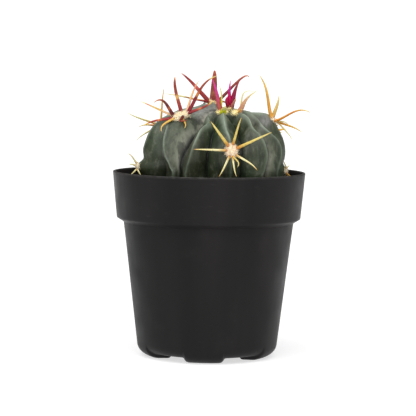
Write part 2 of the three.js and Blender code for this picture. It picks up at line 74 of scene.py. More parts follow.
# The ledge between wall and collar: the rise of its two edges inside the pot, and how it is rounded
# outside, from the wall's top and from the collar's foot
LEDGE_RISE_OUTER = 0.54
LEDGE_RISE_INNER = 0.36
WALL_TURN = [(-0.02, -0.25), (0.03, -0.06), (0.18, 0.06), (0.5, 0.2)]
COLLAR_TURN = [(-0.6, -0.47), (-0.45, -0.41), (-0.17, -0.23), (-0.02, -0.02), (0.03, 0.3)]

BASE_Z = 1.75
BASE_ROUND = 3.8
BASE_RINGS = (0, 4, 8, 12)
INNER_RING = 8
FOOT_COUNT = 5
FOOT_TURN = -2.6
FOOT_INNER = 15.2
FOOT_BLEND = 0.7
FOOT_ROUND_WIDE = 5.4
FOOT_ROUND_HIGH = 4.2
# Across a foot: distance from its middle, and how far the bottom has come down to the ground there
FOOT_SECTION = [
    (7.3, 0), (6.95, 0.03), (6.74, 0.1), (6.6, 0.22), (6.5, 0.4), (6.4, 0.58),
    (6.24, 0.75), (6.0, 0.88), (5.65, 0.96), (5.2, 1), (3.2, 1), (1.1, 1),
]
# The same for the inner end of a foot, from the ring where the feet begin
FOOT_END = [(-0.4, 0), (-0.1, 0.1), (0, 0.5), (0.15, 0.8), (0.4, 0.96)]
COLUMNS_BETWEEN_FEET = 22
DRAIN_RADIUS = 2.8
DRAIN_RING = 12.3

# How much the wall warps as it cools, how long its waves are, and the height where they are in full
WARP = 0.05
WARP_LONG = 22
WARP_FULL_Z = 12

WALL_SLOPE = (WALL_TOP_RADIUS - WALL_FOOT_RADIUS) / (WALL_TOP_Z - WALL_FOOT_Z)
COLLAR_SLOPE = (RIM_RADIUS - COLLAR_FOOT_RADIUS) / (POT_HEIGHT - COLLAR_FOOT_Z)
WALL_TILT = math.atan(WALL_SLOPE)
BASE_ROUND_Z = BASE_Z + BASE_ROUND

# Colours are as read off a picture, 0 to 255 each
PLASTIC = (25, 25, 25)
PLASTIC_STREAKS = (34, 32, 32)
PLASTIC_CLOUDS = (48, 45, 44)
RUBBED_RIM = (74, 72, 70)
RUBBED_HIGH = 0.9
SCUFFS = (80, 78, 76)
SCUFFED_HIGH = 9


def wall_radius(z):
    return WALL_FOOT_RADIUS + WALL_SLOPE * (z - WALL_FOOT_Z)


def collar_radius(z):
    return COLLAR_FOOT_RADIUS + COLLAR_SLOPE * (z - COLLAR_FOOT_Z)


BASE_ROUND_X = wall_radius(BASE_ROUND_Z) - BASE_ROUND / math.cos(WALL_TILT)


def linear(red, green, blue):
    """A colour as the light values that shaders take: the screen's curve taken off."""
    def channel(value):
        share = value / 255
        return share / 12.92 if share <= 0.04045 else ((share + 0.055) / 1.055) ** 2.4
    return (channel(red), channel(green), channel(blue), 1.0)


def corner(x, z, wide, high, start, end, steps):
    """Points of an elliptical corner from one angle to another, in degrees."""
    angles = [math.radians(start + (end - start) * i / steps) for i in range(steps + 1)]
    return [(x + wide * math.cos(a), z + high * math.sin(a)) for a in angles]


def stretch(first, last, steps):
    """Points from first up to, and without, last."""
    (x0, z0), (x1, z1) = first, last
    return [(x0 + (x1 - x0) * i / steps, z0 + (z1 - z0) * i / steps) for i in range(steps)]


def around(radius, turns, heights):
    """Points round the upright axis, at turns in radians from the front."""
    across, depth = radius * np.sin(turns), -radius * np.cos(turns)
    return np.stack(np.broadcast_arrays(across, depth, heights), axis=-1)


def new_piece(name, data):
    piece = bpy.data.objects.new(name, data)
    bpy.context.scene.collection.objects.link(piece)
    return piece


def mesh_piece(name, points, faces, finish):
    """A smooth-shaded object from points in millimetres."""
    mesh = bpy.data.meshes.new(name)
    mesh.from_pydata([tuple(point) for point in np.asarray(points) * MM], [], faces)
    mesh.materials.append(finish)
    mesh.shade_smooth()
    return new_piece(name, mesh)


def baked(piece):
    """The piece as a plain mesh, with what its modifiers make of it."""
    evaluated = piece.evaluated_get(bpy.context.evaluated_depsgraph_get())
    mesh = bpy.data.meshes.new_from_object(evaluated)
    piece.modifiers.clear()
    old = piece.data
    piece.data = mesh
    bpy.data.meshes.remove(old)
    mesh.name = piece.name
    return piece


def cut_out(piece, cutter):
    """Cuts one closed mesh out of another and removes the cutter."""
    cut = piece.modifiers.new("cut", "BOOLEAN")
    cut.operation = "DIFFERENCE"
    cut.solver = "EXACT"
    cut.object = cutter
    baked(piece)
    bpy.data.objects.remove(cutter)


def pot_outlines():
    """The pot's outline from the middle of its underside round to its floor, between the feet and
    along the middle of a foot."""
    tilt = math.degrees(WALL_TILT)
    start = FOOT_INNER + FOOT_BLEND
    centre = [(radius, BASE_Z) for radius in BASE_RINGS]
    between = centre + [(FOOT_INNER + x, BASE_Z) for x, drop in FOOT_END]
    between += stretch((start, BASE_Z), (BASE_ROUND_X, BASE_Z), steps=3)
    between += corner(BASE_ROUND_X, BASE_ROUND_Z, BASE_ROUND, BASE_ROUND, -90, -tilt, steps=14)
    foot_x = wall_radius(FOOT_ROUND_HIGH) - FOOT_ROUND_WIDE
    on_foot = centre + [(FOOT_INNER + x, BASE_Z * (1 - drop)) for x, drop in FOOT_END]
    on_foot += stretch((start, 0), (foot_x, 0), steps=3)
    on_foot += corner(foot_x, FOOT_ROUND_HIGH, FOOT_ROUND_WIDE, FOOT_ROUND_HIGH, -90, 0, steps=14)

    wall_turn = [(WALL_TOP_RADIUS + x, WALL_TOP_Z + z) for x, z in WALL_TURN]
    collar_turn = [(COLLAR_FOOT_RADIUS + x, COLLAR_FOOT_Z + z) for x, z in COLLAR_TURN]
    outer_lip = (RIM_RADIUS - 0.02, POT_HEIGHT - LIP - 0.15)
    inner_lip = (RIM_RADIUS - WALL - 0.04, POT_HEIGHT - LIP - 0.4)
    ledge_z = COLLAR_FOOT_Z + LEDGE_RISE_OUTER
    ledge = (collar_radius(ledge_z) - WALL, ledge_z)
    inner_round = BASE_ROUND - WALL
    floor_z = BASE_ROUND_Z - inner_round
    shared = [
        *wall_turn[1:-1],
        *stretch(wall_turn[-1], collar_turn[0], steps=4),
        *collar_turn[1:-1],
        *stretch(collar_turn[-1], outer_lip, steps=12),
        *corner(RIM_RADIUS - LIP, POT_HEIGHT - LIP, LIP, LIP, 0, 90, steps=5),
        *corner(RIM_RADIUS - WALL + LIP, POT_HEIGHT - LIP, LIP, LIP, 90, 180, steps=5),
        *stretch(inner_lip, ledge, steps=10),
        ledge,
        (WALL_TOP_RADIUS - WALL / math.cos(WALL_TILT), WALL_TOP_Z + LEDGE_RISE_INNER),
        *corner(BASE_ROUND_X, BASE_ROUND_Z, inner_round, inner_round, -tilt, -90, steps=6),
        (INNER_RING, floor_z),
        (0, floor_z),
    ]
    return [np.array(foot[:-1] + stretch(foot[-1], wall_turn[0], steps=20) + shared)
            for foot in (between, on_foot)]


def pot_columns(radius):
    """Turns round the pot at one radius, with the share of a foot's drop at each. They follow the
    straight sides of the feet and run evenly between them."""
    sides = [(-x, drop) for x, drop in FOOT_SECTION] + [(x, drop) for x, drop in reversed(FOOT_SECTION)]
    reach = min(max(radius, FOOT_INNER), WALL_FOOT_RADIUS)
    half = math.asin(FOOT_SECTION[0][0] / reach)
    gap = 2 * math.pi / FOOT_COUNT - 2 * half
    turns = []
    drops = []
    for foot in range(FOOT_COUNT):
        middle = math.radians(FOOT_TURN + 360 * foot / FOOT_COUNT)
        for x, drop in sides:
            turns.append(middle + math.asin(x / reach))
            drops.append(drop)
        for i in range(1, COLUMNS_BETWEEN_FEET):
            turns.append(middle + half + gap * i / COLUMNS_BETWEEN_FEET)
            drops.append(0)
    return np.array(turns), np.array(drops)


def turned_faces(rows, columns):
    """Faces between rings of points, with a single point before the first ring and after the last."""
    faces = []
    last = 1 + (rows - 1) * columns
    for i in range(columns):
        j = (i + 1) % columns
        faces.append((0, 1 + i, 1 + j))
        for row in range(rows - 1):
            lower = 1 + row * columns
            upper = lower + columns
            faces.append((lower + j, lower + i, upper + i, upper + j))
        faces.append((last + j, last + i, last + columns))
    return faces


def nursery_pot(finish):
    plain, footed = pot_outlines()
    rings = []
    for (r0, z0), (r1, z1) in zip(plain[1:-1], footed[1:-1]):
        turns, drops = pot_columns(r0)
        radius = r0 + (r1 - r0) * drops
        if z0 > BASE_ROUND_Z:
            warp = [noise.noise(Vector((2 * math.sin(a), 2 * math.cos(a), z0 / WARP_LONG))) for a in turns]
            radius = radius + WARP * np.array(warp) * min(1, z0 / WARP_FULL_Z)
        rings.append(around(radius, turns, z0 + (z1 - z0) * drops))
    points = np.concatenate([[(0, 0, plain[0][1])], *rings, [(0, 0, plain[-1][1])]])
    faces = turned_faces(len(rings), len(rings[0]))
    pot = mesh_piece("nursery_pot", points, faces, finish)
    bores = bmesh.new()
    turns = [math.radians(FOOT_TURN + 360 * (i + 0.5) / FOOT_COUNT) for i in range(FOOT_COUNT)]
    for spot in [(0, 0, BASE_Z), *around(DRAIN_RING, np.array(turns), BASE_Z)]:
        bmesh.ops.create_cone(bores, cap_ends=True, segments=40, radius1=DRAIN_RADIUS * MM,
                              radius2=DRAIN_RADIUS * MM, depth=4 * BASE_Z * MM,
                              matrix=Matrix.Translation(Vector(spot) * MM))
    mesh = bpy.data.meshes.new("drain_bores")
    bores.to_mesh(mesh)
    bores.free()
    cut_out(pot, new_piece("drain_bores", mesh))
    pot.data.set_sharp_from_angle(angle=math.radians(SHARP_EDGE))
    return pot


class Nodes:
    """A node tree that is built one node after another."""

    def __init__(self, tree):
        self.tree = tree

    def node(self, kind, settings=None, **inputs):
        made = self.tree.nodes.new(kind)
        for key, value in (settings or {}).items():
            setattr(made, key, value)
        for key, value in inputs.items():
            self.put(made.inputs[key.replace("_", " ")], value)
        return made

    def put(self, socket, value):
        """Sets a socket, or links it to another; a node stands for its first output."""
        if isinstance(value, bpy.types.Node):
            value = value.outputs[0]
        if isinstance(value, bpy.types.NodeSocket):
            self.tree.links.new(value, socket)
        else:
            socket.default_value = value

    def math(self, operation, first, second):
        made = self.node("ShaderNodeMath", {"operation": operation})
        self.put(made.inputs[0], first)
        self.put(made.inputs[1], second)
        return made.outputs["Value"]

    def times(self, first, second):
        return self.math("MULTIPLY", first, second)

    def heights(self, value):
        return self.node("ShaderNodeSeparateXYZ", Vector=value).outputs["Z"]


class Finish(Nodes):
    """A principled material that starts as one plain colour and gets coats over it."""

    def __init__(self, name, roughness, specular, colour=None):
        self.material = bpy.data.materials.new(name)
        self.material.use_nodes = True
        super().__init__(self.material.node_tree)
        self.shader = self.tree.nodes["Principled BSDF"]
        self.set("Roughness", roughness)
        self.set("Specular IOR Level", specular)
        self.place = self.node("ShaderNodeTexCoord").outputs["Object"]
        self.tint = colour

    def set(self, name, value):
        self.put(self.shader.inputs[name], value)

    def noise(self, scale, detail, roughness=0.5, upright=1.0):
        """Noise of one scale across the piece, and so many times that scale up it."""
        place = self.place
        if upright != 1:
            place = self.node("ShaderNodeMapping", Vector=place, Scale=(1, 1, upright)).outputs["Vector"]
        return self.node("ShaderNodeTexNoise", Vector=place, Scale=scale, Detail=detail,
                         Roughness=roughness).outputs["Fac"]

    def attribute(self, name, output="Fac"):
        return self.node("ShaderNodeAttribute", {"attribute_name": name}).outputs[output]

    def range(self, value, low, high, to_low=0.0, to_high=1.0):
        return self.node("ShaderNodeMapRange", Value=value, From_Min=low, From_Max=high, To_Min=to_low,
                         To_Max=to_high).outputs["Result"]

    def patches(self, scale, low, high, to_low=0.0, to_high=1.0, **kind):
        """Noise whose values from low to high are spread over the range from to_low to to_high."""
        return self.range(self.noise(scale, **kind), low, high, to_low, to_high)

    def mix(self, share, first, second, how="MIX"):
        made = self.node("ShaderNodeMix", {"data_type": "RGBA", "blend_type": how}, Factor=share)
        for socket, colour in zip(made.inputs[6:8], (first, second)):
            self.put(socket, colour if isinstance(colour, bpy.types.NodeSocket) else linear(*colour))
        return made.outputs[2]

    def coat(self, share, colour, how="MIX"):
        self.tint = self.mix(share, self.tint, colour, how)

    def bump(self, height, distance, strength, below=None):
        made = self.node("ShaderNodeBump", Height=height, Distance=distance, Strength=strength)
        if below:
            self.put(made.inputs["Normal"], below)
        return made.outputs["Normal"]

    def done(self, relief):
        self.set("Base Color", self.tint)
        self.set("Normal", relief)
        return self.material


def pot_finish():
    plastic = Finish("black_polypropylene", roughness=0.42, specular=0.09, colour=PLASTIC)
    plastic.coat(plastic.patches(60, 0.35, 0.68, detail=3, upright=0.08), PLASTIC_STREAKS)
    plastic.coat(plastic.patches(110, 0.58, 0.78, 0, 0.25, detail=5), PLASTIC_CLOUDS)
    heights = plastic.heights(plastic.place)
    rim = plastic.range(heights, (POT_HEIGHT - RUBBED_HIGH) * MM, POT_HEIGHT * MM)
    rubs = plastic.patches(420, 0.35, 0.75, detail=6, roughness=0.7, upright=3)
    plastic.coat(plastic.times(rim, rubs), RUBBED_RIM)
    low_collar = plastic.range(heights, (COLLAR_FOOT_Z - SCUFFED_HIGH) * MM, COLLAR_FOOT_Z * MM)
    scuffs = plastic.patches(240, 0.6, 0.74, 0, 0.16, detail=7, roughness=0.72, upright=4.5)
    plastic.coat(plastic.times(low_collar, scuffs), SCUFFS)
    plastic.set("Roughness", plastic.patches(90, 0.3, 0.7, 0.36, 0.52, detail=5))
    grain = plastic.bump(plastic.noise(2600, detail=2), 0.00002, 0.35)
    flow = plastic.noise(70, detail=3, upright=0.12)
    return plastic.done(plastic.bump(flow, 0.0004, 0.25, grain))


pot = nursery_pot(pot_finish())
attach(pot, "root")
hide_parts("pot")


# ---- Cactus stem ---------------------------------------------------------------------------------
# The living globe, one fleshy body: twelve ribs with sharp pale crests, swollen into chins under the
# areoles, a waxy grey-green skin, and a foot that narrows down into the soil. It leans to the light.
# Its colour carries painted shade in the grooves, creases and low part, and painted highlights on the
# crests, the wax and the crown's front.
STEM_RADIUS = 23.5
STEM_CROWN = 16.0
STEM_FOOT = 26.0
STEM_PLACE = np.array([1.75, 0.0, 66.2])
LEAN_FRONT = 9.0
LEAN_RIGHT = 1.8
CROWN_ROUND = 2.58
FOOT_ROUND = 2.6
# The turn of each rib's crest from the front, in degrees to the right
RIB_TURNS = [-80, -49, -20, 13, 45.5, 67.5, 95, 126, 157, 188, 214, 241]
RIBS = len(RIB_TURNS)
# How far the crests wander from those turns, in degrees, at even places down the ribs, and how far
# the groove after each crest lies off the middle, as a share of the way to the next crest
WANDER_FIRST = 0.15
WANDER_STEP = 0.15
CREST_WANDER = [
    [-15, -15, -14, -10, -6, -2, 0], [0, -4, -10, -5.5, -1, 4.5, 14, 12, 4],
    [-1, 9.5, 4, 2.5, 1, -0.5, -3, -2, 0], [0, -2.5, -2, 0, 0], [0, 4, -1, 2, 2.3, 1.5, -3, -3, 0],
    [0, 7, -4, -2.5, 3.5, 2.8, -5, -4, 0], [0], [0, -3, 2, 4, 1, -3, -4, -2, 0],
    [0, 4, 3, -1, -4, -2, 2, 2, 0], [0, -2, -4, -2, 2, 4, 1, 0, 0], [0, 3, 0, -4, -3, 1, 4, 2, 0],
    [0, -3, -5, -7, -7, -5, -2, 0, 0],
]
GROOVE_LEAN = [
    [0], [0.2, 0.2, 0.22, 0.2, 0.17, 0.08, -0.06, -0.05, 0],
    [-0.1, -0.14, -0.1, -0.11, -0.14, -0.12, -0.1, -0.05, 0],
    [0.15, 0.25, 0.14, 0.01, -0.05, -0.1, -0.08, -0.05, 0],
    [0], [0], [0], [0.06], [-0.1], [0.08], [0.12], [-0.06],
]

# The grooves: their depth on a rib of the usual span, and the least and most of that span that counts.
# Then the places where they are in full and where they fade, and the form of the faces down to them
RIB_DEPTH = 4.8
RIB_SPAN = 30
RIB_NARROWEST = 0.5
RIB_WIDEST = 1.2
GROOVE_FULL = 0.38
GROOVE_FADE = 1.35
FACE_STRAIGHT = 0.5
FACE_ROUND = 2.2

# The swelling of a crest by a bunch of spines: its height, how far below the bunch it lies, and the
# depth of the notch above. Between the places that come last it grows from nothing to its full size
CHIN = (1.1, 0.07, 0.7)
CHIN_REACH = 0.15
CHIN_ROUND = 1.5
NOTCH_ABOVE = 0.1
NOTCH_REACH = 0.055
CHIN_FULL = (-0.15, 0.2)

# The ridge along each crest
RIDGE_HIGH = 0.2
RIDGE_WIDE = 0.42
RIDGE_BEGINS = (0.05, 0.2)

# Creases in the skin, from so far beside a crest: long ones, finer ones across them, and pores
CREASE_FROM = 1.6
CREASE_DEPTH = 0.16
CREASE_WIDE = 1.3
CREASE_LONG = 9
CROSS_DEPTH = 0.08
CROSS_WIDE = 3.2
CROSS_LONG = 2.4
PORE_DEPTH = 0.025
PORE_SIZE = 0.7

# Shares of the way from one crest to the next where the skin has points, close by the crests, and
# the places from crown (0) to widest ring (1) to foot (2) where it has rings of them
CREST_STEPS = [0, 0.016, 0.034, 0.055, 0.08, 0.12, 0.17, 0.23, 0.3, 0.37, 0.43, 0.475]
FACE_SHARES = np.array(CREST_STEPS + [0.5] + [1 - share for share in reversed(CREST_STEPS[1:])])
STEM_ROWS = np.concatenate([np.linspace(0.015, 1.4, 150), np.linspace(1.42, 1.97, 26)])

# How much pale wax and painted highlight lie on the faces between each crest and the next, at the
# places given below it: by the crest, on the way to the groove, on both sides of the groove, beyond it
# and by the next crest; above 1 it is a painted highlight in the thick wax's colour. Then how dark the
# painted shade in each groove is, and where the painted shade of the low part starts on each rib.
WAX_AND_HIGHLIGHT = [
    (0.3, 0.2, 0.1, 0.1, 0.1, 0.1), (0.05, 0.45, 1.9, 0, 0.05, 0.2), (0.2, 0.05, 0, 0, 0.1, 0.2),
    (0.2, 0.1, 0.1, 0, 0.2, 0.3), (0.2, 0.2, 0.2, 1.7, 0.6, 0.2), (0.4, 0.3, 0.2, 0.4, 0.3, 0.3),
    (0.4, 0.3, 0.3, 0.2, 0.3, 0.4), (0.6, 0.5, 0.4, 0.3, 0.3, 0.3), (0.2, 0.3, 0.3, 0.4, 0.5, 0.6),
    (0.7, 0.6, 0.5, 0.3, 0.3, 0.4), (0.3, 0.2, 0.2, 0.2, 0.3, 0.4), (0.5, 0.4, 0.4, 0.5, 0.5, 0.5),
]
WAX_AND_HIGHLIGHT_PLACES = (0, 0.22, 0.44, 0.54, 0.75, 1)
GROOVE_SHADE = [1, 1.15, 1, 1, 1, 1.15, 1, 1, 1, 1, 1, 1]
LOW_SHADE_FROM = [0.66, 0.9, 0.86, 0.82, 1.2, 1.2, 1.15, 0.9, 0.95, 0.85, 0.95, 0.9]
LOW_SHADE_REACH = 0.34

# Painted grey highlights near the crown, on the front: across, height, reach and strength
GREY_HIGHLIGHTS = [(-3.6, 81, 1.7, 0.9), (18.6, 78.6, 2, 0.7), (-0.3, 82.6, 2.6, 0.55)]
GREY_HIGHLIGHT_DEEPEST = 6

# The pale line of the crests, partly their own colour and partly a painted highlight: how wide it
# is, and how much wider by the crown on each rib
LINE_REACH = 0.42
BROAD_LINES = [0.1, 0.2, 0.9, 0.6, 0.15, 0.15, 0.2, 0.1, 0.2, 0.1, 0.2, 0.2]

# The places between which the marks come and go, and how much of the crest's line goes
LINE_BEGINS = (0.02, 0.16)
LINE_NARROWS = (0.2, 0.6)
LINE_FADES = (0.5, 1)
LINE_FADE = 0.55
GROOVE_SHADE_BEGINS = (0.05, 0.3)
CROWN_ENDS = (0.12, 0.42)

# A rounded hump of the crown, in front of the bunch at its rear: turn, place, height and reach
HUMP_TURN = 196
HUMP_T = 0.14
HUMP_HEIGHT = 1.8
HUMP_REACH = 3.2

# Colours of the skin, its wax and its marks, with its painted highlights and the painted shade of
# the grooves, creases and low part
GREEN_SKIN = (33, 54, 26)
BROWN_SKIN = (47, 52, 34)
THIN_WAX = (104, 109, 90)
THICK_WAX_AND_HIGHLIGHT = (158, 156, 142)
LOW_SHADE = (38, 44, 22)
LIGHT_SPOTS = (104, 106, 94)
DARK_SPOTS = (30, 36, 24)
CREASE_SHADE = (28, 34, 22)
GROOVE_SIDE_SHADE = (30, 38, 22)
GROOVE_FLOOR_SHADE = (6, 9, 5)
HUMP_SKIN = (62, 60, 58)
GREY_HIGHLIGHT = (150, 147, 146)
CREST_LINE_AND_HIGHLIGHT = (138, 150, 132)
PORES = (120, 126, 108)

# Where each bunch of spines grows: its rib, its place from crown (0) to widest ring (1) to foot (2),
# and the swelling of the crest by it
AREOLES = {
    "star": (3, 0.78, CHIN),
    "left_shoulder": (1, 0.34, CHIN),
    "left_rear": (11, 0.77, CHIN),
    "crown_rear": (9, 0.24, CHIN),
    "crown_front": (3, 0.15, (1.7, 0.07, 0.7)),
    "crown_right": (4, 0.18, (1.5, 0.07, 0.7)),
    "crown_young": (5, 0.075, (2.1, 0.07, 0.7)),
    "right_shoulder": (6, 0.51, (1.9, -0.08, 0)),
    "left_rim": (0, 1.12, (2.2, -0.01, 1.3)),
    "right_rim": (6, 1.15, (0.5, 0.07, 0.7)),
    "rib2_low": (1, 1.34, CHIN),
    "rib3_low": (2, 1.24, CHIN),
    "rib4_low": (3, 1.36, CHIN),
    "rib5_low": (4, 1.24, CHIN),
    "rib6_low": (5, 1.36, CHIN),
    "rib8_middle": (7, 0.78, CHIN),
    "rib8_low": (7, 1.3, CHIN),
    "rib9_upper": (8, 0.78, CHIN),
    "rib9_middle": (8, 1.12, CHIN),
    "rib10_middle": (9, 0.86, CHIN),
    "rib10_low": (9, 1.36, CHIN),
    "rib11_upper": (10, 0.8, CHIN),
    "rib11_middle": (10, 1.13, CHIN),
    "rib12_low": (11, 1.38, CHIN),
}


def smooth(low, high, value):
    share = np.clip((value - low) / (high - low), 0, 1)
    return share * share * (3 - 2 * share)


def bell(distance, reach):
    return np.exp(-((distance / reach) ** 2))


def outline_at(t):
    """Radius and height of the globe's outline in its own upright frame."""
    angle = np.minimum(t, 1) * math.pi / 2
    down = np.clip(t - 1, 0, 1)
    crown_radius = STEM_RADIUS * np.sin(angle) ** (2 / CROWN_ROUND)
    crown_height = STEM_CROWN * np.maximum(np.cos(angle), 0) ** (2 / CROWN_ROUND)
    foot_radius = STEM_RADIUS * np.sqrt(1 - down ** FOOT_ROUND)
    return np.where(t <= 1, crown_radius, foot_radius), np.where(t <= 1, crown_height, -STEM_FOOT * down)


def outline_normal(t):
    step = 0.01
    r0, z0 = outline_at(np.maximum(t - step, 0))
    r1, z1 = outline_at(np.minimum(t + step, 2))
    size = np.hypot(r1 - r0, z1 - z0)
    return (z0 - z1) / size, (r1 - r0) / size


def wander(values, t):
    """A smooth run through values that stand at even places down a rib."""
    values = np.array(values, float)
    last = len(values) - 1
    along = np.clip((np.asarray(t, float) - WANDER_FIRST) / WANDER_STEP, 0, last)
    first = np.minimum(along.astype(int), max(last - 1, 0))
    f = along - first
    before, start, end, after = [values[np.clip(first + i, 0, last)] for i in (-1, 0, 1, 2)]
    bend = 2 * before - 5 * start + 4 * end - after
    return start + 0.5 * f * (end - before + f * (bend + f * (3 * start - before - 3 * end + after)))


def rib_turn(rib, t):
    return RIB_TURNS[rib] + wander(CREST_WANDER[rib], t)


def face_span(rib, t):
    """Degrees from a rib's crest to the next one."""
    after = (rib + 1) % RIBS
    return (rib_turn(after, t) - rib_turn(rib, t)) % 360


def groove_share(share):
    """0 on a rib's crest and 1 in the groove, which lies at share 0.5."""
    down = 1 - abs(2 * share - 1)
    return FACE_STRAIGHT * down + (1 - FACE_STRAIGHT) * down ** FACE_ROUND


def groove_depth(rib, t):
    wide = np.clip(face_span(rib, t) / RIB_SPAN, RIB_NARROWEST, RIB_WIDEST)
    return RIB_DEPTH * wide * smooth(0, GROOVE_FULL, t) * (1 - smooth(GROOVE_FADE, 2, t))


def crest_swell(rib, t):
    """How far a rib's crest swells into chins under its areoles and dips above them."""
    total = np.zeros_like(t)
    for own_rib, own_t, (height, below, notch) in AREOLES.values():
        if own_rib == rib:
            rise = height * bell(t - own_t - below, CHIN_REACH)
            dip = notch * bell(t - own_t + NOTCH_ABOVE, NOTCH_REACH)
            total = total + smooth(*CHIN_FULL, own_t) * (rise - dip)
    return total


def crown_hump(turn, t):
    radius, height = outline_at(t)
    own_radius, own_height = outline_at(HUMP_T)
    own_turn = math.radians(HUMP_TURN)
    x = radius * np.sin(turn) - own_radius * math.sin(own_turn)
    y = radius * np.cos(turn) - own_radius * math.cos(own_turn)
    return HUMP_HEIGHT * bell(np.sqrt(x * x + y * y + (height - own_height) ** 2), HUMP_REACH)


def leaned(points):
    across = Matrix.Rotation(math.radians(LEAN_RIGHT), 3, "Y")
    forward = Matrix.Rotation(math.radians(LEAN_FRONT), 3, "X")
    return np.asarray(points) @ np.array(across @ forward).T


def turn_share(rib, t, share):
    """The share of the turn from one crest to the next for a share of the way over the two faces."""
    middle = 0.5 + wander(GROOVE_LEAN[rib], t)
    return 2 * share * middle if share < 0.5 else middle + (2 * share - 1) * (1 - middle)


def skin_turn(rib, t, share):
    return np.radians(rib_turn(rib, t) + face_span(rib, t) * turn_share(rib, t, share))


def skin_points(t, rib, share, out=0.0):
    """Points of the skin for an array of places t, moved out along the outline's normal."""
    t = np.asarray(t, float)
    turn = skin_turn(rib, t, share)
    groove = groove_share(share)
    near = rib if share < 0.5 else (rib + 1) % RIBS
    swell = out - groove_depth(rib, t) * groove + crest_swell(near, t) * (1 - groove) ** CHIN_ROUND
    swell = swell + crown_hump(turn, t)
    radius, height = outline_at(t)
    outward, upward = outline_normal(t)
    return leaned(around(radius + outward * swell, turn, height + upward * swell)) + STEM_PLACE


def over_faces(value, shares):
    """What a function of rib and share gives for each column of the skin's points."""
    return np.stack([value(rib, share) for rib in range(RIBS) for share in shares], axis=1)


def stem_grid(rows, shares, out):
    """Rings of skin points from crown to foot."""
    return over_faces(lambda rib, share: skin_points(rows, rib, share, out), shares)


def crest_distances(rows, shares):
    """How far each of those points is from the nearest crest."""
    def distance(rib, share):
        part = turn_share(rib, rows, share)
        return np.minimum(part, 1 - part) * np.radians(face_span(rib, rows)) * outline_at(rows)[0]
    return over_faces(distance, shares)


def with_next(values):
    """Each rib's value with that of the next rib."""
    return zip(values, np.roll(values, -1))


def ring_mesh(name, grid, first, last, finish):
    rows, columns = grid.shape[:2]
    points = np.concatenate([[first], grid.reshape(-1, 3), [last]])
    faces = [tuple(reversed(face)) for face in turned_faces(rows, columns)]
    return mesh_piece(name, points, faces, finish)


def keep(mesh, name, values, kind="FLOAT", key="value"):
    """Keeps a value for each point of a mesh."""
    layer = mesh.attributes.new(name, kind, "POINT")
    layer.data.foreach_set(key, np.asarray(values, np.float32).ravel())


def relief(x, y, z, from_crest):
    """Height of the creases and pores at a point of the skin, from three parts of one noise."""
    long = noise.noise(Vector((x / CREASE_WIDE, y / CREASE_WIDE, z / CREASE_LONG)))
    cross = noise.noise(Vector((x / CROSS_WIDE + 40, y / CROSS_WIDE, z / CROSS_LONG)))
    pores = noise.noise(Vector((x / PORE_SIZE, y / PORE_SIZE, z / PORE_SIZE + 9)))
    side = min(1, from_crest / CREASE_FROM)
    return side * (CREASE_DEPTH * long + CROSS_DEPTH * cross) + PORE_DEPTH * pores


def skin_shades(grid, from_crest, shares):
    """Where the skin's marks, painted shade and painted highlights lie: a value from 0 to about 1 at each
    point.
    """
    down = STEM_ROWS[:, None]
    groove = np.tile(groove_share(shares), RIBS) * np.repeat(GROOVE_SHADE, len(shares))
    low_shade_from = np.concatenate([here + (after - here) * shares for here, after in with_next(LOW_SHADE_FROM)])
    broad = np.concatenate([np.where(shares <= 0.5, here, after) for here, after in with_next(BROAD_LINES)])
    line = bell(from_crest, LINE_REACH + broad * (1 - smooth(*LINE_NARROWS, down)))
    x, y, z = np.moveaxis(grid, -1, 0)
    grey_highlight = sum(amount * bell(np.hypot(x - own_x, z - own_z), reach)
               for own_x, own_z, reach, amount in GREY_HIGHLIGHTS)
    turns = over_faces(lambda rib, share: skin_turn(rib, STEM_ROWS, share), shares)
    # Painted light among these: the crests' highlight, the shade in the grooves and on the low part ("low"),
    # the wax's highlights above 1 and the grey highlights
    return {
        "pale_crest_and_highlight": line * smooth(*LINE_BEGINS, down) * (1 - LINE_FADE * smooth(*LINE_FADES, down)),
        "groove": groove * smooth(*GROOVE_SHADE_BEGINS, down),
        "crown": 1 - smooth(*CROWN_ENDS, down),
        "low": smooth(0, LOW_SHADE_REACH, down - low_shade_from),
        "wax_and_highlight": np.concatenate([np.interp(shares, WAX_AND_HIGHLIGHT_PLACES, values) for values in WAX_AND_HIGHLIGHT]),
        "grey_highlight": np.where(y < GREY_HIGHLIGHT_DEEPEST, grey_highlight, 0),
        "hump": crown_hump(turns, down) / HUMP_HEIGHT,
    }


def cactus_stem(finish):
    shares = FACE_SHARES[:-1]
    grid = stem_grid(STEM_ROWS, shares, 0)
    normals = stem_grid(STEM_ROWS, shares, 1) - grid
    from_crest = crest_distances(STEM_ROWS, shares)
    lift = RIDGE_HIGH * bell(from_crest, RIDGE_WIDE) * smooth(*RIDGE_BEGINS, STEM_ROWS)[:, None]
    for spot in np.ndindex(lift.shape):
        lift[spot] += relief(*grid[spot], from_crest[spot])
    moved = grid + normals * lift[..., None]
    stem = ring_mesh("cactus_stem", moved, skin_points(0, 0, 0), skin_points(2, 0, 0), finish)
    for name, values in skin_shades(grid, from_crest, shares).items():
        values = np.broadcast_to(values, lift.shape)
        keep(stem.data, name, np.concatenate([[values[0, 0]], values.reshape(-1), [values[-1, 0]]]))
    return stem


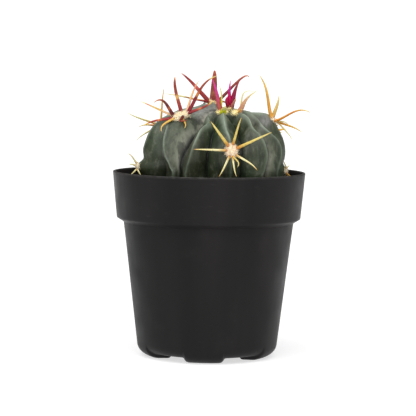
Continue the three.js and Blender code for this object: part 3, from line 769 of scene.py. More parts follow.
def skin_finish():
    skin = Finish("waxy_cactus_skin", roughness=0.5, specular=0.4, colour=GREEN_SKIN)
    wax_and_highlight, low, groove = [skin.attribute(name) for name in ("wax_and_highlight", "low", "groove")]
    skin.coat(skin.patches(60, 0.4, 0.65, detail=3, upright=0.5), BROWN_SKIN)
    # Pale wax on the faces, with a painted highlight where the value passes 1; the crown has thick wax
    wax = skin.patches(130, 0.36, 0.6, 0.3, 1, detail=6, roughness=0.6, upright=0.4)
    thick = skin.math("MAXIMUM", skin.attribute("crown"), skin.range(wax_and_highlight, 1, 2))
    skin.coat(skin.times(wax_and_highlight, wax), skin.mix(thick, THIN_WAX, THICK_WAX_AND_HIGHLIGHT))
    # Painted shade on the low part of each rib
    skin.coat(skin.times(low, 0.75), LOW_SHADE)
    mottle = skin.noise(520, detail=5, roughness=0.65, upright=0.55)
    skin.coat(skin.range(mottle, 0.52, 0.66, 0, 0.5), LIGHT_SPOTS)
    skin.coat(skin.range(mottle, 0.48, 0.36, 0, 0.5), DARK_SPOTS)
    creases = skin.noise(330, detail=4, roughness=0.6, upright=0.12)
    # Painted shade along the creases
    skin.coat(skin.range(creases, 0.52, 0.62, 0, 0.75), CREASE_SHADE)
    # Painted shade down the groove sides and in the groove floors, less of it low down
    skin.coat(skin.range(groove, 0.6, 0.9, 0, 0.6), GROOVE_SIDE_SHADE)
    deep = skin.times(skin.range(groove, 0.8, 0.97, 0, 0.97), skin.range(low, 0, 1, 1, 0.5))
    skin.coat(deep, GROOVE_FLOOR_SHADE)
    skin.coat(skin.times(skin.attribute("hump"), 0.75), HUMP_SKIN)
    # Painted grey highlights near the crown's front
    skin.coat(skin.times(skin.attribute("grey_highlight"), skin.range(mottle, 0.4, 0.56, 0.35, 1)), GREY_HIGHLIGHT)
    uneven = skin.patches(260, 0.3, 0.7, 0.45, 1, detail=3)
    # The crests' pale line, partly a painted highlight
    skin.coat(skin.times(skin.attribute("pale_crest_and_highlight"), uneven), CREST_LINE_AND_HIGHLIGHT)
    pores = skin.node("ShaderNodeTexVoronoi", Vector=skin.place, Scale=2600.0).outputs["Distance"]
    skin.coat(skin.range(pores, 0.28, 0.12, 0, 0.25), PORES)
    skin.set("Roughness", skin.patches(200, 0.3, 0.7, 0.4, 0.6, detail=4))
    dimples = skin.bump(pores, 0.00005, 0.4)
    folds = skin.bump(creases, 0.0004, 0.5, dimples)
    return skin.done(skin.bump(mottle, 0.0003, 0.4, folds))


stem = cactus_stem(skin_finish())
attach(stem, "root")
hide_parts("stem")


# ---- Potting mix ---------------------------------------------------------------------------------
# Gritty cactus compost that fills the pot to below the collar's lip: dark peat pressed down by hand,
# with the stem's foot grown into it and loose grit and pumice lying on top.
SOIL_CLEARANCE = 0.1
STEM_CLEARANCE = 0.3
SOIL_EDGE_Z = 49.4
SOIL_STEM_Z = 49.9
SOIL_MIDDLE_Z = 50.6
SOIL_COLUMNS = 150
SOIL_ROWS = 16
SOIL_UNDER_STEM = 16
HOLE_ROWS = np.linspace(0.1, 1.9, 40)
SHARP_CRUMB = 50

# Crumbs of the surface: how high they stand, how wide the small and the large ones are, how much
# the large ones count, and how far the whole surface sinks for them
CRUMB_HEIGHT = 0.55
CRUMB_SMALL = 1.1
CRUMB_LARGE = 3
CRUMB_SHARE = 0.6
CRUMB_SINK = 0.25

PEAT = (30, 23, 18)
PEAT_CLUMPS = (72, 55, 40)


def crumbs(x, y):
    """Height of the crumbs at a place, from two levels of one noise."""
    small = noise.noise(Vector((x / CRUMB_SMALL, y / CRUMB_SMALL, 3)))
    large = noise.noise(Vector((x / CRUMB_LARGE, y / CRUMB_LARGE, 8)))
    return CRUMB_HEIGHT * (small + CRUMB_SHARE * large - CRUMB_SINK)


def potting_mix(finish):
    inner_round = BASE_ROUND - WALL - SOIL_CLEARANCE
    floor_z = BASE_ROUND_Z - inner_round
    inset = (WALL + SOIL_CLEARANCE) / math.cos(WALL_TILT)
    edge = collar_radius(SOIL_EDGE_Z) - WALL - SOIL_CLEARANCE
    tilt = math.degrees(WALL_TILT)
    outline = [
        (INNER_RING, floor_z),
        *corner(BASE_ROUND_X, BASE_ROUND_Z, inner_round, inner_round, -90, -tilt, steps=5),
        (WALL_TOP_RADIUS - inset, WALL_TOP_Z + LEDGE_RISE_INNER + SOIL_CLEARANCE),
        (edge - 0.2, COLLAR_FOOT_Z + LEDGE_RISE_OUTER + SOIL_CLEARANCE),
        *stretch((edge, SOIL_EDGE_Z), (STEM_RADIUS, SOIL_STEM_Z), SOIL_ROWS),
        (STEM_RADIUS, SOIL_STEM_Z),
        (SOIL_UNDER_STEM, SOIL_STEM_Z),
        (INNER_RING, SOIL_MIDDLE_Z),
    ]
    turns = np.arange(SOIL_COLUMNS) * 2 * math.pi / SOIL_COLUMNS
    rings = [around(radius, turns, height) for radius, height in outline]
    for ring in rings:
        for point in ring:
            if point[2] >= SOIL_EDGE_Z:
                point[2] += crumbs(*point[:2])
    points = np.concatenate([[(0, 0, floor_z)], *rings, [(0, 0, SOIL_MIDDLE_Z)]])
    soil = mesh_piece("potting_mix", points, turned_faces(len(rings), SOIL_COLUMNS), finish)
    grid = stem_grid(HOLE_ROWS, FACE_SHARES[:-1:2], STEM_CLEARANCE)
    ends = [skin_points(t, 0, 0, STEM_CLEARANCE) for t in (0, 2)]
    cut_out(soil, ring_mesh("stem_hole", grid, *ends, finish))
    soil.data.set_sharp_from_angle(angle=math.radians(SHARP_CRUMB))
    return soil


def soil_finish():
    peat = Finish("dark_peat", roughness=0.95, specular=0.2, colour=PEAT)
    peat.coat(peat.patches(420, 0.35, 0.7, detail=6, roughness=0.65), PEAT_CLUMPS)
    flecks = peat.node("ShaderNodeTexVoronoi", Vector=peat.place, Scale=900.0).outputs["Color"]
    peat.coat(0.12, flecks, "OVERLAY")
    return peat.done(peat.bump(peat.noise(1500, detail=5), 0.0003, 0.8))


soil = potting_mix(soil_finish())
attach(soil, "root")
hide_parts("soil")


# ---- Loose grit ----------------------------------------------------------------------------------
# Crushed stone and pumice from the potting mix, washed up to its surface: angular bits from sand
# size up to a couple of millimetres, lying at random on the peat.

# Name, roundness, bits to a square metre, smallest and largest half width, and seed
GRIT = [
    ("fine_grit", 1, 1.1e6, 0.22, 0.5, 11),
    ("coarse_grit", 2, 7.0e4, 0.55, 1.05, 23),
]
# It lies on faces that look up by at least so much, and no deeper than this under the peat's edge
GRIT_LEVEL = 0.35
GRIT_DEEPEST = 1.2
# Least and most of a bit's length, width and thickness, and how much its corners are chipped
GRIT_FLATTEST = (0.7, 0.55, 0.5)
GRIT_FULLEST = (1.15, 1.0, 0.9)
GRIT_CHIPPED = 0.4
GRIT_CHIP_SCALE = 1400.0
FULL_TURN = (6.28, 6.28, 6.28)
# The stones' colours: the share of them where each begins, and its red, green and blue
STONES = [(0, 52, 40, 30), (0.3, 84, 68, 52), (0.52, 112, 98, 80), (0.7, 66, 60, 56),
          (0.84, 150, 138, 120), (0.93, 196, 188, 172)]


class Tree(Nodes):
    """A geometry node tree that turns a base mesh into a piece, with named sizes."""

    def __init__(self, name, sizes):
        super().__init__(bpy.data.node_groups.new(name, "GeometryNodeTree"))
        face = self.tree.interface
        face.new_socket(name="Geometry", in_out="INPUT", socket_type="NodeSocketGeometry")
        self.keys = {}
        for label, kind in sizes.items():
            socket = face.new_socket(name=label, in_out="INPUT", socket_type="NodeSocket" + kind)
            self.keys[label] = socket.identifier
        face.new_socket(name="Geometry", in_out="OUTPUT", socket_type="NodeSocketGeometry")
        self.given = self.node("NodeGroupInput")

    def size(self, label):
        return self.given.outputs[label]

    def random(self, kind, low, high, salt):
        made = self.node("FunctionNodeRandomValue", {"data_type": kind})
        sockets = [socket for socket in made.inputs if socket.enabled]
        self.put(sockets[0], low)
        self.put(sockets[1], high)
        self.put(sockets[-1], self.math("ADD", self.size("Seed"), float(salt)))
        return next(socket for socket in made.outputs if socket.enabled)

    def strewn(self, shape, turn, scale, **where):
        """Copies of a shape at random places on the base mesh. A turn that is a function gets the turn
        that stands a copy upright there."""
        spots = self.node("GeometryNodeDistributePointsOnFaces", {"distribute_method": "RANDOM"},
                          Mesh=self.size("Geometry"), Density=self.size("Crowding"),
                          Seed=self.size("Seed"), **where)
        if callable(turn):
            turn = turn(spots.outputs["Rotation"])
        return self.node("GeometryNodeInstanceOnPoints", Points=spots, Instance=shape, Rotation=turn,
                         Scale=scale)

    def scaled(self, vector, scale):
        return self.node("ShaderNodeVectorMath", {"operation": "SCALE"}, Vector=vector, Scale=scale)

    def crumpled(self, copies, scale, amount):
        """The copies as one mesh, each of its points shifted a little by noise."""
        real = self.node("GeometryNodeRealizeInstances", Geometry=copies)
        waves = self.node("ShaderNodeTexNoise", {"noise_dimensions": "3D"}, Scale=scale, Detail=1.0)
        centred = self.node("ShaderNodeVectorMath", {"operation": "SUBTRACT"}, Vector=waves.outputs["Color"])
        self.put(centred.inputs[1], (0.5, 0.5, 0.5))
        return self.node("GeometryNodeSetPosition", Geometry=real, Offset=self.scaled(centred, amount * MM))

    def end(self, geometry):
        real = self.node("GeometryNodeRealizeInstances", Geometry=geometry)
        dressed = self.node("GeometryNodeSetMaterial", Geometry=real, Material=self.size("Finish"))
        self.node("NodeGroupOutput", Geometry=dressed)
        return self


def grown(name, tree, base, **values):
    """A new plain piece: what the tree makes of a base mesh, with the tree's inputs set by name."""
    piece = new_piece(name, base.copy())
    maker = piece.modifiers.new("maker", "NODES")
    maker.node_group = tree.tree
    for label, value in values.items():
        maker[tree.keys[label]] = value
    return baked(piece)


def grit_tree():
    tree = Tree("grit", {
        "Roundness": "Int", "Crowding": "Float", "Smallest": "Float", "Largest": "Float",
        "Seed": "Int", "Finish": "Material",
    })
    facing = tree.heights(tree.node("GeometryNodeInputNormal"))
    height = tree.heights(tree.node("GeometryNodeInputPosition"))
    level = tree.math("GREATER_THAN", facing, GRIT_LEVEL)
    high = tree.math("GREATER_THAN", height, (SOIL_EDGE_Z - GRIT_DEEPEST) * MM)
    stone = tree.node("GeometryNodeMeshIcoSphere", Radius=1.0, Subdivisions=tree.size("Roundness"))
    turn = tree.random("FLOAT_VECTOR", (0, 0, 0), FULL_TURN, 1)
    shape = tree.random("FLOAT_VECTOR", GRIT_FLATTEST, GRIT_FULLEST, 2)
    size = tree.random("FLOAT", tree.size("Smallest"), tree.size("Largest"), 3)
    stones = tree.strewn(stone, turn, tree.scaled(shape, size), Selection=tree.times(level, high))
    toned = tree.node("GeometryNodeStoreNamedAttribute", {"data_type": "FLOAT", "domain": "INSTANCE"},
                      Geometry=stones, Name="tone")
    value = next(socket for socket in toned.inputs if socket.name == "Value" and socket.enabled)
    tree.put(value, tree.random("FLOAT", 0.0, 1.0, 4))
    return tree.end(tree.crumpled(toned, GRIT_CHIP_SCALE, GRIT_CHIPPED))


def grit_finish():
    stone = Finish("grit_and_pumice", roughness=0.9, specular=0.3)
    shades = stone.node("ShaderNodeValToRGB", Fac=stone.attribute("tone"))
    ramp = shades.color_ramp
    ramp.interpolation = "CONSTANT"
    ramp.elements.remove(ramp.elements[1])
    ramp.elements[0].color = linear(*STONES[0][1:])
    for share, *colour in STONES[1:]:
        ramp.elements.new(share).color = linear(*colour)
    stone.tint = shades.outputs["Color"]
    stone.coat(1.0, stone.patches(2600, 0.3, 0.7, 0.75, 1.2, detail=4), "MULTIPLY")
    return stone.done(stone.bump(stone.noise(3000, detail=3), 0.0001, 0.6))


grit_look = grit_finish()
grit_maker = grit_tree()
for name, roundness, crowding, smallest, largest, seed in GRIT:
    grit = grown(name, grit_maker, soil.data, Roundness=roundness, Crowding=crowding,
                 Smallest=smallest * MM, Largest=largest * MM, Seed=seed, Finish=grit_look)
    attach(grit, "root")


# ---- Areole felt ---------------------------------------------------------------------------------
# The cushion of short dense wool on a rib's crest from which each bunch of spines grows: cream and
# thick on young growth at the crown, white and matted lower down. It is rooted in the skin.

# The lumps of a pad: how high they are, how close together, and how far one pad's lie from another's
PAD_LUMPS = 0.22
PAD_LUMP_COUNT = 2.1
PAD_SHIFT = 3.7

# The hairs: how many to a square metre, their size, how far each swings about, and how much it curls
HAIR_CROWDING = 2.2e7
HAIR_LONG = 0.8
HAIR_THICK = 0.05
HAIR_SHORTEST = 0.55
HAIR_LONGEST = 1.15
HAIR_SWING = (0.95, 0.95, 3.1)
HAIR_CURL = 0.55
HAIR_CURL_SCALE = 1500.0

# Half the width, length and height of each pad, and the colour of its wool
WOOL = {
    "star": (2.3, 2.6, 1.5, (255, 236, 206)), "left_shoulder": (2, 3.5, 1.8, (255, 240, 206)),
    "left_rear": (1.3, 1.3, 1, (244, 226, 186)), "crown_rear": (2.2, 1.5, 2, (255, 226, 170)),
    "crown_front": (2.35, 1.5, 1.1, (255, 240, 176)), "crown_right": (2.35, 1.5, 1.1, (255, 240, 180)),
    "crown_young": (1.8, 1.5, 1.1, (255, 238, 180)), "right_shoulder": (1.2, 2, 1, (255, 238, 206)),
}
OLD_WOOL = (1.5, 1.6, 1.1, (244, 230, 200))
# How much of its colour the wool keeps in its hollows, and how far light gets into it, in metres
WOOL_SHADE = 0.93
LIGHT_DEPTH = 0.0006
# How far up the rib from an areole the way up is taken
UP_STEP = 0.02


def unit(ways):
    """Ways of length 1 in the same directions."""
    return ways / np.linalg.norm(ways, axis=-1, keepdims=True)


def areole_seat(rib, t):
    """Middle of the pad, and the ways out, up the rib and across."""
    at = skin_points(t, rib, 0)
    outward, upward = outline_normal(np.array(t))
    out = leaned(around(outward, math.radians(rib_turn(rib, t)), upward))
    up = skin_points(t - UP_STEP, rib, 0) - at
    up = unit(up - out * (up @ out))
    return at, out, up, np.cross(up, out)


def felt_tree():
    tree = Tree("felt", {
        "Crowding": "Float", "Long": "Float", "Thick": "Float", "Seed": "Int", "Finish": "Material",
    })
    hair = tree.node("GeometryNodeMeshCone", {"fill_type": "TRIANGLE_FAN"}, Vertices=3, Side_Segments=3,
                     Fill_Segments=1, Radius_Top=0.05, Radius_Bottom=1.0, Depth=1.0)
    swing = tree.random("FLOAT_VECTOR", tuple(-most for most in HAIR_SWING), HAIR_SWING, 1)
    swing = tree.node("FunctionNodeEulerToRotation", Euler=swing)
    length = tree.times(tree.random("FLOAT", HAIR_SHORTEST, HAIR_LONGEST, 2), tree.size("Long"))
    size = tree.node("ShaderNodeCombineXYZ", X=tree.size("Thick"), Y=tree.size("Thick"), Z=length)

    def swung(upright):
        return tree.node("FunctionNodeRotateRotation", {"rotation_space": "LOCAL"}, Rotation=upright,
                         Rotate_By=swing)

    hairs = tree.strewn(hair, swung, size)
    both = tree.node("GeometryNodeJoinGeometry")
    tree.put(both.inputs[0], tree.size("Geometry"))
    tree.put(both.inputs[0], tree.crumpled(hairs, HAIR_CURL_SCALE, HAIR_CURL))
    return tree.end(both)


def let_light_in(finish, weight, reaches):
    """Lets light wander under the surface, so far for red, green and blue, as shares of its depth."""
    finish.set("Subsurface Weight", weight)
    finish.set("Subsurface Radius", reaches)
    finish.set("Subsurface Scale", LIGHT_DEPTH)


def felt_finish(name, colour):
    deep = tuple(channel * WOOL_SHADE for channel in colour)
    wool = Finish(name, roughness=0.85, specular=0.25, colour=deep)
    wool.coat(wool.patches(900, 0.3, 0.7, detail=4), colour)
    let_light_in(wool, 0.3, (1.0, 0.8, 0.6))
    return wool.done(wool.bump(wool.noise(2600, detail=3), 0.0002, 0.6))


def felt_pad(name, seat, wide, long, high, seed):
    """The matted core of a pad: a lumpy cushion, with room left for the hairs."""
    at, out, up, across = seat
    core = HAIR_LONG / 2
    ball = bmesh.new()
    bmesh.ops.create_icosphere(ball, subdivisions=3, radius=1)
    for vertex in ball.verts:
        lump = noise.noise(vertex.co * PAD_LUMP_COUNT + Vector((seed * PAD_SHIFT, 0, 0)))
        x, y, z = vertex.co * (1 + PAD_LUMPS * lump)
        spot = at + across * (x * (wide - core)) + up * (y * (long - core)) + out * (z * (high - core))
        vertex.co = Vector(spot * MM)
    mesh = bpy.data.meshes.new(name)
    ball.to_mesh(mesh)
    ball.free()
    mesh.shade_smooth()
    return mesh


felt_maker = felt_tree()
old_felt = felt_finish("old_wool", OLD_WOOL[3])
seats = {}
for seed, (name, (rib, t, _)) in enumerate(AREOLES.items()):
    seats[name] = areole_seat(rib, t)
    wide, long, high, colour = WOOL.get(name, OLD_WOOL)
    finish = felt_finish("wool_" + name, colour) if name in WOOL else old_felt
    core = felt_pad("core_" + name, seats[name], wide, long, high, seed)
    felt = grown("felt_" + name, felt_maker, core, Crowding=HAIR_CROWDING, Long=HAIR_LONG * MM,
                 Thick=HAIR_THICK * MM, Seed=seed, Finish=finish)
    bpy.data.meshes.remove(core)
    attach(felt, "root")


# ---- Spines --------------------------------------------------------------------------------------
# Hard, flattened, faintly ringed spines, horny like fingernail: straw and gold on grown areoles, red
# with yellow joints and tips above, magenta where they are new. Each is rooted in its pad of felt.

# How far a spine's root lies from the middle of its pad, as a share of the pad's half width, and
# how deep it is sunk. Then the mesh: its sides, the length of a step, and how and where it is flat
ROOT_SPREAD = 0.8
ROOT_SUNK = 0.4
SPINE_SIDES = 10
SPINE_STEP = 0.2
FEWEST_STEPS = 12
SPINE_FLAT = 0.72
FLAT_TURN = np.array([0, -0.4, 0])
# How much a spine narrows up to its tip, and how late the tip itself closes
TAPER = {
    "brown_red": (0.42, 6), "red": (0.4, 8), "magenta": (0.7, 3), "plum": (0.75, 3), "pink": (0.7, 3),
    "tan_pink": (0.7, 3), "garnet": (0.6, 3), "maroon": (0.3, 8),
}
USUAL_TAPER = (0.5, 4)
FINEST_TIP = 0.012
# Growth rings: their spacing, and how high they stand as a share of the thickness
RING_SPACE = 0.55
RING_HIGH = 0.035

# Colours along a spine: a place from root (0) to tip (1), and red, green and blue there
SHADES = {
    "straw": [(0, 176, 104, 52), (0.1, 218, 176, 100), (0.3, 240, 230, 176), (0.8, 238, 224, 156),
        (0.95, 218, 176, 104), (1, 196, 140, 80)],
    "honey": [(0, 176, 96, 36), (0.1, 210, 146, 60), (0.25, 222, 192, 98), (0.75, 230, 212, 130),
        (0.95, 218, 194, 116), (1, 196, 156, 90)],
    "red": [(0, 130, 32, 38), (0.3, 164, 57, 51), (0.4, 173, 76, 48), (0.45, 232, 172, 96),
        (0.51, 230, 176, 100), (0.57, 160, 68, 45), (0.85, 147, 55, 42), (0.97, 222, 150, 84),
        (1, 240, 204, 130)],
    "dark_red": [(0, 86, 21, 24), (0.28, 108, 28, 30), (0.36, 190, 104, 60), (0.44, 102, 32, 29),
        (0.62, 110, 42, 30), (0.8, 178, 92, 54), (1, 226, 160, 96)],
    "crimson": [(0, 125, 28, 38), (0.25, 147, 38, 50), (0.38, 130, 34, 38), (0.43, 214, 142, 66),
        (0.49, 196, 104, 58), (0.56, 147, 55, 38), (0.82, 164, 76, 43), (0.9, 232, 196, 90),
        (1, 240, 222, 150)],
    "scarlet": [(0, 130, 28, 38), (0.35, 160, 48, 50), (0.5, 214, 128, 72), (0.6, 156, 49, 46),
        (0.78, 166, 57, 48), (0.86, 226, 172, 80), (1, 224, 200, 110)],
    "rose": [(0, 140, 34, 38), (0.35, 162, 48, 46), (0.52, 216, 110, 100), (0.6, 158, 46, 42),
        (0.85, 149, 44, 40), (0.95, 226, 160, 140), (1, 240, 206, 186)],
    "brown_red": [(0, 110, 27, 32), (0.12, 140, 49, 45), (0.3, 168, 100, 66), (0.4, 140, 61, 50),
        (0.8, 156, 70, 53), (1, 192, 91, 54)],
    "arched": [(0, 110, 28, 34), (0.3, 130, 40, 38), (0.6, 151, 61, 43), (0.8, 200, 110, 76),
        (0.93, 226, 176, 130), (1, 240, 226, 190)],
    "peach": [(0, 244, 208, 166), (0.3, 240, 200, 150), (0.5, 230, 182, 92), (0.66, 226, 190, 110),
        (0.8, 226, 142, 104), (0.9, 228, 200, 100), (1, 232, 224, 150)],
    "pale_peach": [(0, 240, 208, 176), (0.35, 238, 178, 130), (0.55, 234, 190, 120), (0.75, 234, 150, 120),
        (0.88, 240, 204, 150), (1, 244, 230, 190)],
    "yellow": [(0, 226, 176, 96), (0.3, 226, 182, 84), (0.7, 222, 176, 82), (1, 236, 206, 130)],
    "lemon": [(0, 214, 150, 90), (0.2, 222, 196, 122), (0.6, 226, 216, 146), (1, 238, 232, 178)],
    "amber": [(0, 214, 110, 70), (0.3, 226, 150, 86), (0.5, 230, 196, 104), (1, 238, 222, 150)],
    "gold": [(0, 232, 176, 92), (0.12, 228, 160, 56), (0.4, 230, 166, 58), (0.75, 236, 190, 86),
        (0.92, 238, 206, 130), (1, 246, 232, 196)],
    "orange": [(0, 232, 150, 60), (0.3, 240, 164, 58), (0.5, 230, 142, 50), (0.75, 240, 184, 72),
        (1, 240, 210, 130)],
    "olive_gold": [(0, 214, 160, 82), (0.3, 214, 178, 92), (0.7, 222, 192, 112), (1, 240, 226, 176)],
    "pink": [(0, 178, 96, 66), (0.2, 186, 84, 84), (0.45, 196, 66, 110), (0.65, 206, 50, 140),
        (1, 230, 80, 176)],
    "magenta": [(0, 140, 0, 40), (0.3, 196, 0, 78), (0.48, 196, 0, 96), (0.6, 196, 30, 140),
        (0.85, 226, 70, 170), (1, 250, 130, 160)],
    "garnet": [(0, 120, 0, 30), (0.5, 160, 0, 50), (1, 206, 0, 100)],
    "maroon": [(0, 84, 26, 20), (0.7, 112, 38, 28), (1, 150, 70, 44)],
    "plum": [(0, 120, 0, 36), (0.35, 150, 0, 66), (0.5, 146, 14, 60), (0.7, 146, 40, 54), (1, 166, 66, 62)],
    "tan_pink": [(0, 206, 150, 92), (0.2, 196, 138, 104), (0.6, 208, 166, 124), (0.85, 222, 202, 134),
        (1, 238, 230, 160)],
    "tawny": [(0, 226, 170, 90), (0.25, 176, 100, 92), (0.7, 190, 132, 110), (1, 220, 190, 140)],
    "lime": [(0, 206, 210, 0), (0.3, 210, 212, 10), (0.6, 206, 200, 120), (1, 226, 216, 150)],
}

# Each spine: tip from the middle of its pad, sideways bow, thickness, and its colours
BUNCHES = {
    "star": [
        (-12.3, -2.2, 0.5, 0, 0, 0, 0.9, "straw"), (-6.8, -2.6, 9.5, 0, 0, 0, 1.2, "honey"),
        (3, -1.8, 10.8, -0.1, 0, 0.1, 0.95, "honey"), (12.8, -2.4, 6.3, 0, 0, 0, 1.1, "honey"),
        (8.3, -3.2, -6, 0.3, 0, 0.4, 0.85, "straw"), (1.8, -5.5, -5, 0.9, 0, 0.3, 0.65, "honey"),
        (1.7, -3.8, -8.1, -0.2, 0, 0, 0.75, "straw"), (-4, -3.6, -8.2, 0.2, 0, 0, 0.85, "straw"),
    ],
    "left_shoulder": [
        (-2.1, -1.5, 12.9, -0.6, 0, 0, 1.4, "red"), (-9.1, -2, 4.2, 0.7, 0, 2.3, 1.4, "dark_red"),
        (11.5, -1.5, 13.3, -1.2, 0, 1, 1.5, "crimson"), (10.2, -2.5, 4.9, 0.2, 0, -0.3, 1.3, "scarlet"),
        (-12.3, -3, -3.2, 0, 0, 0.6, 1.3, "scarlet"), (-13.3, 1, 4.7, 0, 0, 0, 1.05, "peach"),
        (-6.3, -3.2, -5, -0.9, 0, 0.6, 1.05, "yellow"), (1.2, -3.4, -3.9, 0.7, 0, 0.3, 0.95, "yellow"),
        (2, -4.4, -1.1, -1.6, -0.6, -0.7, 1.1, "maroon"), (5.9, 3, 11.9, -0.4, 0, 0.3, 1, "pale_peach"),
    ],
    "left_rear": [
        (1.1, -1, 12.7, -0.2, 0, 0, 1.1, "yellow"), (-11.1, -2, 4, 0, 0, -0.3, 1.1, "lemon"),
        (-7.5, -3, -0.8, 0, 0, 0.6, 1, "amber"), (-8.3, -1.2, -5.5, 0, 0, 0.5, 1, "lemon"),
        (2.5, 8, 3, 0, 0.4, 0.4, 1.05, "lemon"), (1, 8.5, -3.5, 0, 0.7, 0, 0.9, "yellow"),
        (-1, 9, -1, 0, 0, 0.4, 1.15, "amber"),
    ],
    "crown_rear": [
        (-11, 1, 10, 0.2, 0, 0.3, 2, "rose"), (0.4, 0, 11, 0.1, 0, 0, 2.7, "brown_red"),
        (-9.6, -2, 2.2, 0, 0, -0.3, 1.1, "rose"), (-16.6, -3, 3, 0, 0, 0.2, 1.1, "lemon"),
        (12.2, 1, 8.6, 1, 0, 2.6, 1.45, "arched"), (-3.5, 9, -1, 0, 0.3, 0.5, 1.2, "red"),
        (5, 9, -0.5, 0, 0.3, 0.5, 1.2, "red"),
    ],
    "crown_front": [
        (-3.5, -0.8, 11.1, 0.3, 0, 0.1, 1.9, "pink"), (-1.1, 0.6, 8.7, 0.5, 0, 0, 0.8, "lime"),
        (1, -3.3, 1.8, 0, 0, 0.2, 2.4, "lime"),
    ],
    "crown_right": [
        (7.1, -1, 7.5, -1.4, 0, -0.2, 2, "tan_pink"), (6.3, 2.5, 6.7, -2, 0, 1.9, 0.75, "lemon"),
        (2, -3, 1, 0, 0, 0.4, 0.7, "yellow"),
    ],
    "crown_young": [
        (0.3, -0.5, 9.4, -0.3, 0, 0, 1.8, "magenta"), (3.6, 0.4, 9.8, -0.5, 0, 0.1, 2.3, "plum"),
        (2.1, -1.4, 3.4, 0, 0, 0, 1.6, "tawny"), (2.2, 2.6, 6, 0, 0, 0, 1.5, "tawny"),
        (-0.6, -1.2, 4, -0.5, 0, 0, 2.4, "garnet"),
    ],
    "right_shoulder": [
        (-5.1, -2, 15, 0.9, 0, 0.3, 1.55, "gold"), (1.7, 1.5, 8.3, 0.4, 0, -0.1, 1.5, "olive_gold"),
        (12, -8, 2.7, -0.2, 0, 1.7, 1.25, "orange"), (5, -3, -1.5, 0, 0, 0.6, 0.9, "lemon"),
        (9.6, -1.5, -4, 0.1, 0, 0.4, 1.1, "gold"), (6.4, -2.5, -6.8, 0.3, 0, 0.2, 0.8, "lemon"),
        (-2, 8.5, 0.5, 0, 0.3, 0.4, 1.15, "orange"),
    ],
    "left_rim": [
        (-3.3, -0.6, 4.3, 0.2, 0, 0.2, 0.95, "straw"), (-2.5, -2, -3, 0, 0, 0, 0.85, "straw"),
        (1, -2.8, -2.8, 0, 0, 0, 0.75, "straw"), (-3, 2, 0.5, 0, 0, 0.2, 0.85, "straw"),
    ],
    "right_rim": [
        (-0.6, -1.6, 3.4, 0, 0, 0, 0.85, "straw"), (2.2, -1.6, -2, 0, 0, 0, 0.75, "gold"),
        (1.4, 2.2, -2.2, 0, 0, 0, 0.75, "gold"), (1.6, 2, 1.8, 0, 0, 0, 0.75, "straw"),
    ],
}

# Bunches out of sight of the front follow the plant's rule: a ring of spines of about one reach and,
# above the rim, a hooked one inside it. Under the rim, where the pot's wall is near, they fan upwards.
# By bunch, the reach and count of the ring; a bunch that isn't named has the low ones' values
RULED = {
    "rib8_middle": (5, 7), "rib9_upper": (7, 7), "rib9_middle": (8, 7), "rib10_middle": (7.5, 7),
    "rib11_upper": (7, 7), "rib11_middle": (8, 7),
}
RULED_LOW = (4.2, 5)
RULED_LOOKS = [("red", "dark_red", "spines_red"), ("straw", "lemon", "spines_straw"),
               ("gold", "orange", "spines_gold")]
SPINE_SEED = 90533
# The ring: how far its spines lean out and swing about, in degrees, their lengths and hook as shares
# of the reach, those at the top shorter, and their thickness
RING_LEAN = 62
RING_SWING = 8
RING_SHORTEST = 0.85
RING_LONGEST = 1.1
RING_UPPER = 0.65
RING_HOOK = 0.03
RING_WIDTH = 0.95
# Where the low bunches start, the fan they make in degrees, and their thickness
LOW_T = 1.15
LOW_FAN = 210
LOW_WIDTH = 0.8
# The hooked spine: its lean in degrees, its length and hook as shares, and its thickness
CENTRAL_LEAN = 24
CENTRAL_REACH = 1.15
CENTRAL_HOOK = 0.1
CENTRAL_WIDTH = 1.25

# The looks slot of each bunch that can be seen from the front
SLOTS = {
    "star": "spines_straw", "left_shoulder": "spines_red", "left_rear": "spines_gold",
    "crown_rear": "spines_red", "crown_front": "spines_magenta", "crown_right": "spines_red",
    "crown_young": "spines_magenta", "right_shoulder": "spines_gold", "left_rim": "spines_straw",
    "right_rim": "spines_gold",
}


def draws_from(seed):
    """Repeatable draws between 0 and 1."""
    factor, modulus = 16807, 2 ** 31 - 1
    state = seed
    while True:
        state = (state * factor) % modulus
        yield state / modulus


def ruled_spines(t, seat, reach, ring, looks, draws):
    at, out, up, across = seat
    low = t > LOW_T
    spines = []

    def add(clock, lean, length, hook, width, look):
        tilt = math.radians(lean)
        turn = np.array(Matrix.Rotation(-math.radians(clock), 3, Vector(out)))
        tip = turn @ up * math.sin(tilt) * length + out * math.cos(tilt) * length
        spines.append((*tip, *(out * hook * length), width, look))

    for i in range(ring):
        share = i / (ring - 1) - 0.5 if low else (i + 0.5) / ring
        clock = share * (LOW_FAN if low else 360) + (next(draws) - 0.5) * RING_SWING
        lean = RING_LEAN + (next(draws) - 0.5) * RING_SWING
        length = reach * (RING_SHORTEST + (RING_LONGEST - RING_SHORTEST) * next(draws))
        length *= 1 - (1 - RING_UPPER) * (1 + math.cos(math.radians(clock))) / 2
        add(clock, lean, length, RING_HOOK, LOW_WIDTH if low else RING_WIDTH, looks[i % 2])
    if not low:
        add(180, CENTRAL_LEAN, reach * CENTRAL_REACH, CENTRAL_HOOK, CENTRAL_WIDTH, looks[0])
    return spines


def spine_colours(look, shares):
    places, *channels = np.transpose(SHADES[look])
    mixed = [np.interp(shares, places, channel) for channel in channels]
    return [linear(*colour) for colour in np.transpose(mixed)]


